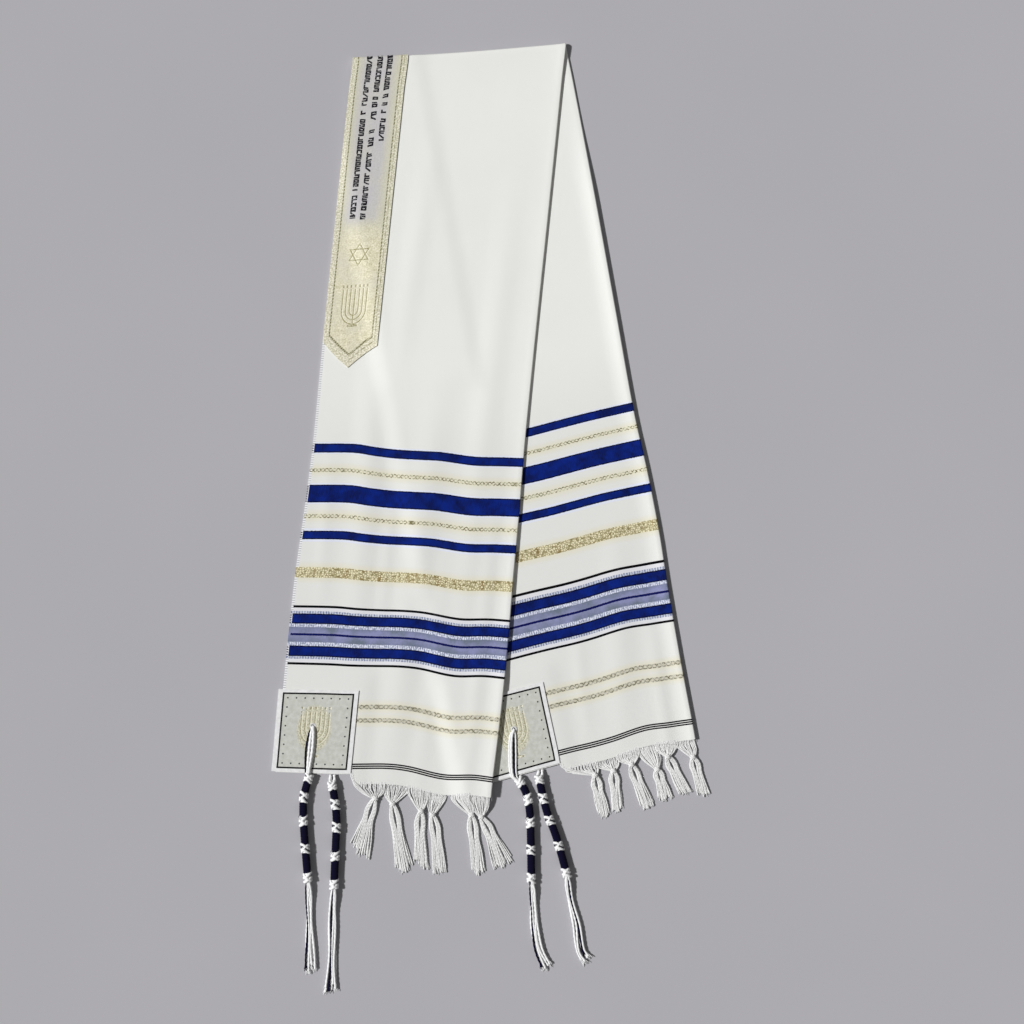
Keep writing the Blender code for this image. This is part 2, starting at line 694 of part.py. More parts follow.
def make_tzitzit(name, facts, home, helpers, profile, finish):
    """A knotted and wound stem, the loop that ties it to the corner, and eight loose strands."""
    stem_height = FLOOR_CLEARANCE + STEM_KNOT_RADIUS
    path = smooth_route([floor_place(right, down, stem_height) for right, down in facts["stem"]], 60)
    total = sum(length for _, length in STEM_PARTS)
    rings = []
    passed = 0.0
    for kind, length in STEM_PARTS:
        if kind == "knot":
            sizes = ((0.12, STEM_NECK_RADIUS), (0.5, STEM_KNOT_RADIUS), (0.88, STEM_NECK_RADIUS))
        else:
            sizes = ((0.05, STEM_WINDING_RADIUS), (0.95, STEM_WINDING_RADIUS))
        for share, size in sizes:
            place = (passed + share * length) / total * (len(path) - 1)
            index = min(int(place), len(path) - 2)
            rings.append((path[index].lerp(path[index + 1], place - index), size))
        passed += length
    stem = object_of(name, curve_mesh(name, [rings]), home, finish)

    band, source = facts["loop_from"].split("_")
    first = rings[1][0]
    loops = []
    for side in (-1.0, 1.0):
        shift = Vector((side * LOOP_SPREAD, 0.0, 0.0))
        stop = first + shift * 0.9
        if source == "eyelet":
            across, above = EYELETS[band]
            row = 1.0 - above / band_length(band, across)
            hole = shawl_point((band, row), across, 0.0)
            patch_top = hole.z + PAD_LIFT + PAD_WALL / 2
            edge = shawl_point((band, PATCH_BOTTOM_ROW), across, 0.0)
            over = Vector((0.0, 0.0, patch_top + GAP + LOOP_RADIUS - hole.z))
            leave = Vector((edge.x, edge.y, hole.z)).lerp(Vector((stop.x, stop.y, hole.z)), 0.3)
            route = [
                (
                    hole.lerp(leave, place["way"]) + shift * place["spread"] + over * place["rise"],
                    LOOP_RADIUS * place["size"],
                )
                for place in EYELET_LOOP
            ]
        else:
            across = facts["across"] + side * LOOP_SPREAD
            flat = below_hem(band, across, end_length(band, across) + HEM_CLEARANCE)
            hem = Vector((flat.x, flat.y, FLOOR_CLEARANCE + LOOP_RADIUS))
            route = [(hem, LOOP_RADIUS * 0.8), (hem.lerp(stop, 0.5) + shift * 0.3, LOOP_RADIUS)]
        loops.append(route + [(stop, LOOP_RADIUS)])

    last = rings[-2][0]
    ends = [floor_place(right, down, 0.0) for right, down in facts["loose"]]
    loose = []
    for i in range(LOOSE_COUNT):
        column = i % 4 - 1.5
        upper = i // 4
        height = FLOOR_CLEARANCE + LOOSE_WIDTH * (STRAND_FOOT + LOOSE_PITCH * upper)
        middle = smooth_route([Vector((last.x, last.y, 0.0))] + ends, LOOSE_POINTS)
        route = []
        for step, point in enumerate(middle):
            share = step / (LOOSE_POINTS - 1)
            heading = (middle[min(step + 1, LOOSE_POINTS - 1)] - middle[max(step - 1, 0)]).normalized()
            side = Vector((-heading.y, heading.x, 0.0))
            place = point + side * column * LOOSE_WIDTH * LOOSE_PITCH * (1.0 + 0.2 * share)
            if share == 1.0:
                place -= heading * LOOSE_RAGGED * (i * 5 % LOOSE_COUNT) / LOOSE_COUNT
            in_knot = stem_height + (upper - 0.5) * LOOSE_WIDTH * LOOSE_PITCH
            place.z = mix((in_knot, height), ease(share, 0.0, 0.3))
            route.append((place, LOOSE_WIDTH if share < 1.0 else LOOSE_WIDTH * 0.7))
        loose.append(route)
    strands = [curve_mesh("loops", loops), curve_mesh("loose", loose, profile)]
    union(stem, "strands_" + name, strands, helpers)


for old in list(bpy.data.objects):
    bpy.data.objects.remove(old)

shawl = collection("tallit")
tools = collection("cutters", hidden=True)
white = material("white_cloth", (0.80, 0.80, 0.77), 0.9)
neck = material("cream_gold_brocade", (0.76, 0.69, 0.46), 0.6)
grey = material("silver_grey_patch", (0.60, 0.60, 0.54), 0.7)
yarn = material("white_yarn", (0.82, 0.82, 0.80), 0.9)
cord = material("white_and_navy_cord", (0.30, 0.29, 0.42), 0.85)

pins = make_eyelet_cutters(tools)
triangle = strand_profile(tools)
make_cloth(shawl, pins, white)
make_neckband(shawl, neck)
make_patch("corner_patch_front_upper", "front", PAD_LIFT, pins["front_upper"], shawl, grey)
make_patch("corner_patch_front_lower", "front", -PAD_LIFT, pins["front_lower"], shawl, grey)
make_patch("corner_patch_rear_upper", "rear", -PAD_LIFT, pins["rear_upper"], shawl, grey)
make_patch("corner_patch_rear_lower", "rear", PAD_LIFT, pins["rear_lower"], shawl, grey)
for layer in ("front_upper", "front_lower", "rear_upper", "rear_lower"):
    make_fringe(layer, shawl, tools, triangle, yarn)
for name, facts in TZITZIT.items():
    make_tzitzit(name, facts, shawl, tools, triangle, cord)
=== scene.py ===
import bisect
import math
import random

import bmesh
import bpy
import numpy as np
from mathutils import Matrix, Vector


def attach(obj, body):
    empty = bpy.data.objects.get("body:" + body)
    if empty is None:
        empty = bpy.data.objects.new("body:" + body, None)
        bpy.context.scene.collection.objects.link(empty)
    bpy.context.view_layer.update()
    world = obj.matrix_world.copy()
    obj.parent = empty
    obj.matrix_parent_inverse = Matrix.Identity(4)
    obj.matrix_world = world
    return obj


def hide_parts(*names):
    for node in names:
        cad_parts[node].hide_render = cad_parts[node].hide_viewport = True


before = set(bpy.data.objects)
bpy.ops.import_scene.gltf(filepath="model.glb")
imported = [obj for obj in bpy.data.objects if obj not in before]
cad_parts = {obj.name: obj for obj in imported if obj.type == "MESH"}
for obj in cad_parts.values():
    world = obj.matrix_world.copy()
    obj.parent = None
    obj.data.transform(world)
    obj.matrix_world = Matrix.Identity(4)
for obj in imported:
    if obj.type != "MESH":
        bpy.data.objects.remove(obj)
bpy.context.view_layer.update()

# ---- Table, camera and studio light ----
# The shawl lies folded on a plain pale table. It is seen from straight above, and a lamp on the left
# throws short shadows to the right.

VIEW_CENTRE = (0.0263, 0.0079)
VIEW_WIDTH = 1.2595
LENS = 85.0
SENSOR = 36.0
TABLE_SIZE = 40.0
LAMP_SLOPE = 47.0
LAMP_SIDE = 84.0
LAMP_SPREAD = 4.5
LAMP_POWER = 3.9
ROOM_LIGHT = 0.17


def pigment(red, green, blue):
    """A colour in display values from 0 to 255, as light."""
    parts = [value / 255 for value in (red, green, blue)]
    return tuple(p / 12.92 if p <= 0.04045 else ((p + 0.055) / 1.055) ** 2.4 for p in parts)


def put(obj):
    bpy.context.scene.collection.objects.link(obj)
    return obj


class Field:
    """A value that varies over a surface. Plain arithmetic on it gives another one, made by a node."""

    def __init__(self, socket):
        self.socket = socket

    def __add__(self, other):
        return calc("ADD", self, other)

    def __sub__(self, other):
        return calc("SUBTRACT", self, other)

    def __rsub__(self, other):
        return calc("SUBTRACT", other, self)

    def __mul__(self, other):
        return calc("MULTIPLY", self, other)

    def __abs__(self):
        return calc("ABSOLUTE", self)

    def __lt__(self, other):
        return calc("LESS_THAN", self, other)

    def __gt__(self, other):
        return calc("GREATER_THAN", self, other)


def feed(target, value):
    """Gives a node's input a field, a colour or a number."""
    if isinstance(value, Field):
        value.socket.id_data.links.new(value.socket, target)
    else:
        target.default_value = (*value, 1.0) if target.type == "RGBA" else value


def new_node(kind, inputs, **settings):
    """The outputs of a new node. Its inputs go by name or number, and at least one is a field."""
    tree = next(value.socket.id_data for value in inputs.values() if isinstance(value, Field))
    made = tree.nodes.new("ShaderNode" + kind)
    for name, value in settings.items():
        setattr(made, name, value)
    for name, value in inputs.items():
        feed(made.inputs[name], value)
    return [Field(output) for output in made.outputs]


def calc(operation, *values):
    """One step of arithmetic: 1 or 0 where it is a comparison."""
    return new_node("Math", dict(enumerate(values)), operation=operation)[0]


def dye(share, ground, colour):
    """Lays a colour over a ground where the share is 1."""
    return new_node("Mix", {0: share, 6: ground, 7: colour}, data_type="RGBA")[2]


def speckle(place, scale, detail=2.0):
    """Even noise from 0 to 1 at so many grains to the metre."""
    return new_node("TexNoise", {"Vector": place, "Scale": scale, "Detail": detail})[0]


def own_place(tree):
    """The place on a piece, in its own frame."""
    return Field(tree.nodes.new("ShaderNodeTexCoord").outputs["Object"])


def finish_of(name, roughness, sheen=0.0, specular=0.25):
    """A new material: its node tree and its shader."""
    made = bpy.data.materials.new(name)
    made.use_nodes = True
    shader = made.node_tree.nodes["Principled BSDF"]
    shader.inputs["Roughness"].default_value = roughness
    shader.inputs["Specular IOR Level"].default_value = specular
    shader.inputs["Sheen Weight"].default_value = sheen
    shader.inputs["Sheen Roughness"].default_value = 0.5
    return made, made.node_tree, shader


camera = put(bpy.data.objects.new("camera", bpy.data.cameras.new("camera")))
camera.data.lens = LENS
camera.data.sensor_width = SENSOR
camera.location = (*VIEW_CENTRE, VIEW_WIDTH * LENS / SENSOR)
bpy.context.scene.camera = camera
bpy.context.scene.view_settings.view_transform = "Standard"

bpy.ops.mesh.primitive_plane_add(size=TABLE_SIZE, location=(0.0, 0.0, 0.0))
table = bpy.context.object
table.name = "table"
table_finish, tree, shader = finish_of("table_paint", 0.85)
paint = dye(speckle(own_place(tree), 3.0), pigment(167, 166, 170), pigment(173, 171, 176))
feed(shader.inputs["Base Color"], paint)
table.data.materials.append(table_finish)

lamp = put(bpy.data.objects.new("lamp", bpy.data.lights.new("lamp", "SUN")))
lamp.data.energy = LAMP_POWER
lamp.data.angle = math.radians(LAMP_SPREAD)
lamp.rotation_euler = (math.radians(LAMP_SLOPE), 0.0, math.radians(180.0 + LAMP_SIDE))
world = bpy.data.worlds.new("room")
world.use_nodes = True
world.node_tree.nodes["Background"].inputs[0].default_value = (1.0, 1.0, 1.0, 1.0)
world.node_tree.nodes["Background"].inputs[1].default_value = ROOM_LIGHT
bpy.context.scene.world = world

# ---- The shawl cloth ----
# One woven cloth of fine white wool, 0.525 by 1.80 m, with navy, black and gold stripes woven across both
# ends. It is folded in half lengthwise, with that fold on the right and the open edges on the left, and
# then across at its middle: the front band and the rear band fan out from that top fold.

BAND_WIDTH = 0.2626
CLOTH_WALL = 0.0008
LAYER_LIFT = 0.00065
SOLID_HALF_BAND = 0.00115
EDGE_FOLD_LIFT = 0.0010
EDGE_OPENS_FROM = 0.240
EDGE_OPENING = {
    "front": {"more": 1.1, "along": (0.35, 0.80)},
    "rear": {"more": 1.5, "along": (0.08, 0.20)},
}
CORNER_CURL = {"height": 0.0014, "across": (0.196, 0.2626), "along": (0.78, 0.91)}
FOLD_LEFT = Vector((-0.1694, 0.5675))
FOLD_SLOPE = math.radians(3.7)
FOLD_PUFF = 0.0016
FOLD_PUFF_LENGTH = 0.030
FOLD_DRAWN_IN = {"share": (0.0, 0.50, 1.0), "in": (5.8, 6.6, 4.2)}
FOLD_DRAWN_LENGTH = 0.050
BETWEEN_BANDS = 0.0005
# The neckband and the patches are pads on the cloth: their wall, how far one lifts the band that lies on
# it, and how far its middle lies from the middle of the doubled band
PAD_WALL = 0.0008
PAD_RISE = 0.0013
PAD_LIFT = 0.00195

# Each band at its open edge and at its folded edge: its length from the top fold to the first black line,
# and the degrees that it turns to the right. Then the plain cloth below that line, at the corner
BANDS = {
    "front": {"length": (0.872, 0.9065), "turn": (-6.1, -5.64), "corner_end": 0.012},
    "rear": {"length": (0.888, 0.845), "turn": (10.4, 10.4), "corner_end": 0.016},
}
HEM_END = 0.0246
CORNER_WIDTH = 0.0905
CORNER_STEP = 0.006
PATCH_TOP = {"front": 0.0902, "rear": 0.0875}
PATCH_BOTTOM_ROW = 1.92
EYELETS = {"front": (0.040, 0.046), "rear": (0.0435, 0.040)}

# How far each long edge wanders, in millimetres to the right, down the band from the top fold
EDGE_WANDER = {
    "share": (0.0, 0.22, 0.40, 0.55, 0.64, 0.73, 0.80, 0.90, 1.0),
    "front_open": (0.0, 0.0, 0.5, 1.7, 0.0, -2.8, -3.2, -2.7, -1.0),
    "front_folded": (0.0, -0.6, -1.5, -1.5, 0.0, 0.7, 1.8, 2.0, 0.0),
    "rear_open": (0.0, 0.0, 0.0, 0.0, 0.0, 0.0, 0.0, 0.8, 4.5),
    "rear_folded": (0.0, 1.5, 1.2, 0.9, 4.0, 4.7, 3.0, 2.1, 2.5),
}
# How far the crosswise threads wander towards the hem, in millimetres, across the band
THREAD_WANDER = {
    "share": (0.0, 0.20, 0.30, 0.40, 0.52, 0.61, 0.77, 0.90, 1.0),
    "front_stripe": (0.0, -3.2, -1.0, 0.3, 0.0, -0.3, 2.4, 1.0, 0.0),
    "front_hem": (0.0, -1.8, -2.9, -4.9, -6.9, -5.4, 1.5, -1.0, 0.0),
    "rear_stripe": (0.0, 0.0, 0.0, 0.0, 0.0, -0.8, -1.8, -1.9, -1.6),
    "rear_hem": (4.0, 1.8, 0.7, 0.0, 0.0, -1.0, -5.0, -2.0, 0.0),
}
TOP_STRIPE = 0.393
PLAIN_ABOVE = 0.230
TOP_FOLD_ABOVE = 0.87
UNDER_NECKBAND = {"across": (0.071, 0.094), "along": (0.400, 0.430)}
UNDER_PATCH = {"across": (0.094, 0.119), "above_patch": (0.034, 0.006)}
OVER_REAR_BAND = {"across": (-0.052, -0.024), "beyond_end": (0.015, 0.045), "above_patch": (0.045, 0.018)}

# Soft folds down each band: across at their upper and lower ends, where they start and stop down the band,
# their height and their half width
SOFT_FOLDS = {
    "front": (
        (0.060, 0.085, 0.30, 0.79, 0.0014, 0.026),
        (0.150, 0.135, 0.38, 0.96, 0.0018, 0.030),
        (0.215, 0.205, 0.14, 0.80, 0.0012, 0.026),
        (0.178, 0.171, 0.60, 1.00, 0.0006, 0.016),
        (0.232, 0.229, 0.47, 1.00, 0.0009, 0.014),
        (0.105, 0.112, 0.55, 0.76, 0.0007, 0.012),
        (0.110, 0.095, 0.10, 0.42, 0.0008, 0.022),
        (0.020, 0.036, 0.46, 0.70, 0.0006, 0.013),
    ),
    "rear": (
        (0.215, 0.170, 0.58, 0.90, 0.0012, 0.026),
        (0.236, 0.222, 0.70, 0.97, 0.0009, 0.012),
        (0.150, 0.128, 0.66, 0.88, 0.0006, 0.012),
    ),
}


def ease(value, start, stop):
    """0 at start and 1 at stop, with a smooth passage between."""
    share = min(max((value - start) / (stop - start), 0.0), 1.0)
    return share * share * (3.0 - 2.0 * share)


def mix(pair, share):
    return pair[0] + (pair[1] - pair[0]) * share


def table_value(table, column, share):
    """A smooth curve through one column of a table."""
    shares = table["share"]
    values = table[column]
    share = min(max(share, shares[0]), shares[-1])
    last = len(shares) - 1
    left = min(bisect.bisect_right(shares, share) - 1, last - 1)

    def slope(i):
        below = max(i - 1, 0)
        above = min(i + 1, last)
        return (values[above] - values[below]) / (shares[above] - shares[below])

    span = shares[left + 1] - shares[left]
    t = (share - shares[left]) / span
    return (
        values[left] * (1 + 2 * t) * (1 - t) ** 2
        + slope(left) * span * t * (1 - t) ** 2
        + values[left + 1] * t * t * (3 - 2 * t)
        + slope(left + 1) * span * t * t * (t - 1)
    )


def band_length(band, across):
    return mix(BANDS[band]["length"], across / BAND_WIDTH)


def end_length(band, across):
    """The plain cloth below the black lines, shorter where the corner patch covers it."""
    step = ease(across, CORNER_WIDTH, CORNER_WIDTH + CORNER_STEP)
    return mix((BANDS[band]["corner_end"], HEM_END), step)


def along(band, across, row):
    """Rows 0 to 1 run from the top fold to the first black line, and rows 1 to 2 on to the cloth's end."""
    return min(row, 1.0) * band_length(band, across) + max(row - 1.0, 0.0) * end_length(band, across)


def fold_foot(across):
    return FOLD_LEFT + across * Vector((math.cos(FOLD_SLOPE), math.sin(FOLD_SLOPE)))


def drawn_in(across, distance):
    """The first stretch of both bands is drawn in below the line that they are measured from."""
    depth = table_value(FOLD_DRAWN_IN, "in", across / BAND_WIDTH) / 1000
    depth *= 1.0 - ease(distance, 0.0, FOLD_DRAWN_LENGTH)
    return depth * Vector((math.sin(FOLD_SLOPE), -math.cos(FOLD_SLOPE)))


def plan(band, across, distance):
    """Where a place on a band lies on the table, x and y."""
    share = across / BAND_WIDTH
    row = distance / band_length(band, across)
    turn = math.radians(mix(BANDS[band]["turn"], share))
    open_edge = table_value(EDGE_WANDER, band + "_open", row)
    folded_edge = table_value(EDGE_WANDER, band + "_folded", row)
    wander = mix((open_edge, folded_edge), share)
    to_hem = band_length(band, across) - distance
    near_hem = 1.0 - ease(to_hem, 0.0, TOP_STRIPE)
    fade = 1.0 - ease(to_hem, TOP_STRIPE, TOP_STRIPE + PLAIN_ABOVE)
    slip = near_hem * table_value(THREAD_WANDER, band + "_hem", share)
    slip += (1.0 - near_hem) * fade * table_value(THREAD_WANDER, band + "_stripe", share)
    down = distance + slip / 1000
    moved = Vector((down * math.sin(turn) + wander / 1000, -down * math.cos(turn)))
    return fold_foot(across) + drawn_in(across, distance) + moved


def on_rear_band(point):
    """The nearest rear band's across and along of a place on the table."""
    turn = math.radians(BANDS["rear"]["turn"][0])
    fold = Vector((math.cos(FOLD_SLOPE), math.sin(FOLD_SLOPE)))
    down = Vector((math.sin(turn), -math.cos(turn)))
    offset = point - FOLD_LEFT
    area = fold.x * down.y - fold.y * down.x
    across = (offset.x * down.y - offset.y * down.x) / area
    distance = (fold.x * offset.y - fold.y * offset.x) / area
    return across, distance


def fold_height(band, across, distance):
    total = 0.0
    for upper, lower, start, stop, height, half in SOFT_FOLDS[band]:
        share = (distance - start) / (stop - start)
        if 0.0 < share < 1.0:
            side = abs(across - mix((upper, lower), share)) / half
            total += height * math.sin(math.pi * share) * (1.0 - ease(side, 0.0, 1.0))
    return total


def patch_rise(band, across, distance):
    """The height that a patch under the band gives it."""
    top = band_length(band, across) - PATCH_TOP[band]
    start, stop = UNDER_PATCH["above_patch"]
    beside = 1.0 - ease(across, *UNDER_PATCH["across"])
    return PAD_RISE * beside * ease(distance, top - start, top - stop)


def edge_opening(band, across, distance):
    """How many times wider apart than pressed flat the two layers stand, near the folded edge."""
    opening = EDGE_OPENING[band]
    beside = ease(across, EDGE_OPENS_FROM, BAND_WIDTH - EDGE_FOLD_LIFT)
    return 1.0 + opening["more"] * beside * ease(distance, *opening["along"])


def edge_fold_rise(band, across, distance):
    apart = EDGE_FOLD_LIFT * edge_opening(band, across, distance) - LAYER_LIFT
    return apart * ease(across, EDGE_OPENS_FROM, BAND_WIDTH - EDGE_FOLD_LIFT)


def corner_curl(across, distance):
    """The front band's corner at the folded edge and the hem curls up from what it lies on."""
    share = ease(across, *CORNER_CURL["across"]) * ease(distance, *CORNER_CURL["along"])
    return CORNER_CURL["height"] * share


def rear_height(across, distance):
    """The middle of the doubled rear band over the table."""
    beside = 1.0 - ease(across, *UNDER_NECKBAND["across"])
    above = 1.0 - ease(distance, *UNDER_NECKBAND["along"])
    rise = max(PAD_RISE * beside * above, patch_rise("rear", across, distance))
    rise += edge_fold_rise("rear", across, distance)
    return SOLID_HALF_BAND + rise + fold_height("rear", across, distance)


def front_height(across, distance):
    """The middle of the doubled front band, which lies on the rear band and on the table left of it."""
    rear_across, rear_along = on_rear_band(plan("front", across, distance))
    beside = ease(rear_across, *OVER_REAR_BAND["across"])
    end = band_length("rear", 0.0) + BANDS["rear"]["corner_end"]
    start, stop = OVER_REAR_BAND["beyond_end"]
    before = 1.0 - ease(rear_along, end + start, end + stop)
    top = band_length("rear", 0.0) - PATCH_TOP["rear"]
    start, stop = OVER_REAR_BAND["above_patch"]
    patch = PAD_RISE * ease(rear_along, top - start, top - stop)
    under = rear_height(max(rear_across, 0.0), rear_along)
    stack = under + SOLID_HALF_BAND + BETWEEN_BANDS + patch
    puff = FOLD_PUFF * math.exp(-distance / FOLD_PUFF_LENGTH)
    own = patch_rise("front", across, distance) + fold_height("front", across, distance)
    own += edge_fold_rise("front", across, distance) + corner_curl(across, distance)
    return SOLID_HALF_BAND + beside * before * stack + puff + own


def shawl_point(station, across, lift):
    """A place on the folded shawl. A station is (band, row), or ("fold", turn) round the top fold."""
    kind, value = station
    if kind != "fold":
        distance = along(kind, across, value)
        flat = plan(kind, across, distance)
        lift *= edge_opening(kind, across, distance)
        if kind == "front":
            return Vector((flat.x, flat.y, front_height(across, distance) + lift))
        return Vector((flat.x, flat.y, rear_height(across, distance) - lift))
    upper = front_height(across, 0.0)
    lower = rear_height(across, 0.0)
    radius = (upper - lower) / 2 + lift
    out = radius * math.sin(value)
    foot = fold_foot(across) + drawn_in(across, 0.0)
    turned = Vector((foot.x - out * math.sin(FOLD_SLOPE), foot.y + out * math.cos(FOLD_SLOPE)))
    return Vector((turned.x, turned.y, (upper + lower) / 2 + radius * math.cos(value)))


# Where the rear end's stripes lie, by where the front end's lie, in metres above the first black line
REAR_STRIPES = {
    "at": (-0.03, 0.0, 0.1236, 0.1386, 0.1805, 0.1971, 0.2435, 0.2877, 0.3387, 0.3886, 0.45, 0.95),
    "front": (-0.03, 0.0, 0.1227, 0.1383, 0.1783, 0.1927, 0.2352, 0.2802, 0.3320, 0.3882, 0.45, 0.95),
}


def to_lines(station, across):
    """How far a place lies above the first black line, along the cloth: the stripes follow this."""
    kind, value = station
    if kind == "fold":
        return TOP_FOLD_ABOVE
    above = (1.0 - min(value, 1.0)) * band_length(kind, across)
    height = above - max(value - 1.0, 0.0) * end_length(kind, across)
    if kind == "front":
        return height
    return float(np.interp(height, REAR_STRIPES["at"], REAR_STRIPES["front"]))


def cloth_shell(name, grid, places, wall, left_out=()):
    """A thin closed shell through rows of points. Each point keeps its place on the cloth."""
    points = np.array(grid)
    rows, columns = points.shape[:2]
    out = np.cross(np.gradient(points, axis=0), np.gradient(points, axis=1))
    out /= np.linalg.norm(out, axis=2, keepdims=True)
    count = rows * columns
    top = (points + out * wall / 2).reshape(-1, 3)
    bottom = (points - out * wall / 2).reshape(-1, 3)
    faces = []
    sides = {}
    for i in range(rows - 1):
        for j in range(columns - 1):
            if (i, j) in left_out:
                continue
            a, b = i * columns + j, i * columns + j + 1
            c, d = b + columns, a + columns
            faces.append((a, d, c, b))
            faces.append((a + count, b + count, c + count, d + count))
            for edge in ((a, d), (d, c), (c, b), (b, a)):
                if (edge[1], edge[0]) in sides:
                    del sides[(edge[1], edge[0])]
                else:
                    sides[edge] = True
    flat_from = len(faces)
    faces += [(far, near, near + count, far + count) for near, far in sides]
    mesh = bpy.data.meshes.new(name)
    mesh.from_pydata(np.concatenate([top, bottom]).tolist(), [], faces)
    smooth = np.ones(len(faces), dtype=bool)
    smooth[flat_from:] = False
    mesh.polygons.foreach_set("use_smooth", smooth)
    place = mesh.attributes.new("place", "FLOAT_VECTOR", "POINT")
    place.data.foreach_set("vector", np.tile(np.array(places).reshape(-1, 3), (2, 1)).ravel())
    shape = bmesh.new()
    shape.from_mesh(mesh)
    for edge in shape.edges:
        edge.smooth = len({face.smooth for face in edge.link_faces}) == 1
    loose = [vert for vert in shape.verts if not vert.link_faces]
    bmesh.ops.delete(shape, geom=loose, context="VERTS")
    shape.to_mesh(mesh)
    shape.free()
    return put(bpy.data.objects.new(name, mesh))


CLOTH_ROWS = 158
END_ROWS = 5
CLOTH_COLUMNS = 49
TOP_FOLD_STEPS = 10
HAIRPIN_STEPS = 8
MEASURED_COLUMN = 20
EYELET_GAP = 0.0048
CLOTH_STATIONS = (
    [("rear", 2.0 - i / END_ROWS) for i in range(END_ROWS)]
    + [("rear", 1.0 - i / CLOTH_ROWS) for i in range(CLOTH_ROWS)]
    + [("fold", math.pi * (1.0 - i / TOP_FOLD_STEPS)) for i in range(TOP_FOLD_STEPS + 1)]
    + [("front", (i + 1) / CLOTH_ROWS) for i in range(CLOTH_ROWS)]
    + [("front", 1.0 + (i + 1) / END_ROWS) for i in range(END_ROWS)]
)

last_column = BAND_WIDTH - 1.5 * EDGE_FOLD_LIFT
section = [(last_column * i / CLOTH_COLUMNS, LAYER_LIFT) for i in range(CLOTH_COLUMNS)]
for i in range(HAIRPIN_STEPS + 1):
    turn = math.pi * i / HAIRPIN_STEPS
    rounded = BAND_WIDTH - EDGE_FOLD_LIFT * (1.5 - math.sin(turn))
    section.append((rounded, EDGE_FOLD_LIFT * math.cos(turn)))
section += [(last_column * i / CLOTH_COLUMNS, -LAYER_LIFT) for i in reversed(range(CLOTH_COLUMNS))]

cloth_points = [[shawl_point(s, across, lift) for across, lift in section] for s in CLOTH_STATIONS]
run = 0.0
cloth_places = []
for i, station in enumerate(CLOTH_STATIONS):
    if i:
        run += (cloth_points[i][MEASURED_COLUMN] - cloth_points[i - 1][MEASURED_COLUMN]).length
    cloth_places.append([(across, run, to_lines(station, across)) for across, _ in section])


def eyelet_cells(reach):
    """The cells of the cloth's grid under each corner's eyelet."""
    cells = set()
    for i in range(len(CLOTH_STATIONS) - 1):
        band = CLOTH_STATIONS[i][0]
        if band == "fold":
            continue
        across, above = EYELETS[band]
        for j in range(len(section) - 1):
            middle = [(cloth_places[i][j][k] + cloth_places[i + 1][j + 1][k]) / 2 for k in (0, 2)]
            if math.hypot(middle[0] - across, middle[1] - above) < reach:
                cells.add((i, j))
    return cells


cloth = cloth_shell("shawl_cloth_woven", cloth_points, cloth_places, CLOTH_WALL, eyelet_cells(EYELET_GAP))

# Middle of each stripe above the first black line, and its half width, in millimetres
NAVY_BARS = ((388.2, 5.6), (332.0, 11.0), (280.9, 5.3), (177.8, 6.3), (137.9, 6.5))
BLACK_LINES = ((192.7, 1.45), (122.4, 1.45), (0.0, 0.92), (-2.62, 0.88), (-5.24, 0.88))
NAVY_LINE = (158.4, 1.35)
LILAC_GROUND = (158.3, 11.5)
BESIDE_BARS = ((388.2, 7.4), (332.0, 13.0), (280.9, 8.2))
INSIDE_LINES = ((188.0, 5.0), (127.8, 5.0))
BRIGHT_ROWS = ((169.8, 2.3), (146.7, 2.3))
TICK_ROWS = ((185.4, 1.7), (130.0, 1.7))
CHAIN_ROWS = ((361.0, 2.0), (304.2, 2.0))
ROPE_ROWS = ((71.0, 2.4), (54.2, 2.3))
LATTICE = (234.8, 6.4)
HAZE = 8.0
SELVEDGE = 0.0024


def read(tree, name, output):
    """An attribute that a mesh carries."""
    made = tree.nodes.new("ShaderNodeAttribute")
    made.attribute_name = name
    return Field(made.outputs[output])


def around(value, middle, half):
    """1 within half of the middle."""
    return calc("COMPARE", value, middle, half)


def any_of(*shares):
    """The greatest of several."""
    total = shares[0]
    for share in shares[1:]:
        total = calc("MAXIMUM", total, share)
    return total


def stripe(place, rows):
    """1 on each row of (middle, half width), in millimetres, and 0 between them."""
    return any_of(*(around(place, middle / 1000, half / 1000) for middle, half in rows))


def wave(value, pitch):
    return calc("SINE", value * (2 * math.pi / pitch))


def clamp(value):
    return new_node("Clamp", {"Value": value})[0]


def gradual(value, low, high):
    """0 at low and 1 at high, with a smooth passage between."""
    inputs = {"Value": value, "From Min": low, "From Max": high}
    return new_node("MapRange", inputs, interpolation_type="SMOOTHSTEP")[0]


def stretch(value, gain, middle=0.5):
    """Draws a noise apart around its middle, kept from 0 to 1."""
    return clamp((value - middle) * gain + 0.5)


def squeezed(place, across, down):
    """The place with its directions scaled, for a noise that is longer one way."""
    return new_node("VectorMath", {0: place, 1: (across, down, 1.0)}, operation="MULTIPLY")[0]


def finish_surface(shader, colour, shade, height, distance, strength=0.7):
    """Gives a shader its colour, lighter or darker by the shade, and its relief."""
    shaded = new_node("VectorMath", {0: colour, "Scale": shade}, operation="SCALE")[0]
    feed(shader.inputs["Base Color"], shaded)
    bump = new_node("Bump", {"Strength": strength, "Distance": distance, "Height": height})[0]
    feed(shader.inputs["Normal"], bump)


woven, tree, shader = finish_of("white_wool_weave", 0.88, sheen=0.04, specular=0.06)
across, down, above = new_node("SeparateXYZ", {"Vector": read(tree, "place", "Vector")})
place = new_node("CombineXYZ", {"X": across, "Y": down})[0]
fuzz = speckle(place, 900.0)
patchy = speckle(place, 55.0, 3.0)
uneven = (fuzz - 0.5) * 0.0014 + above
inner = across > SELVEDGE

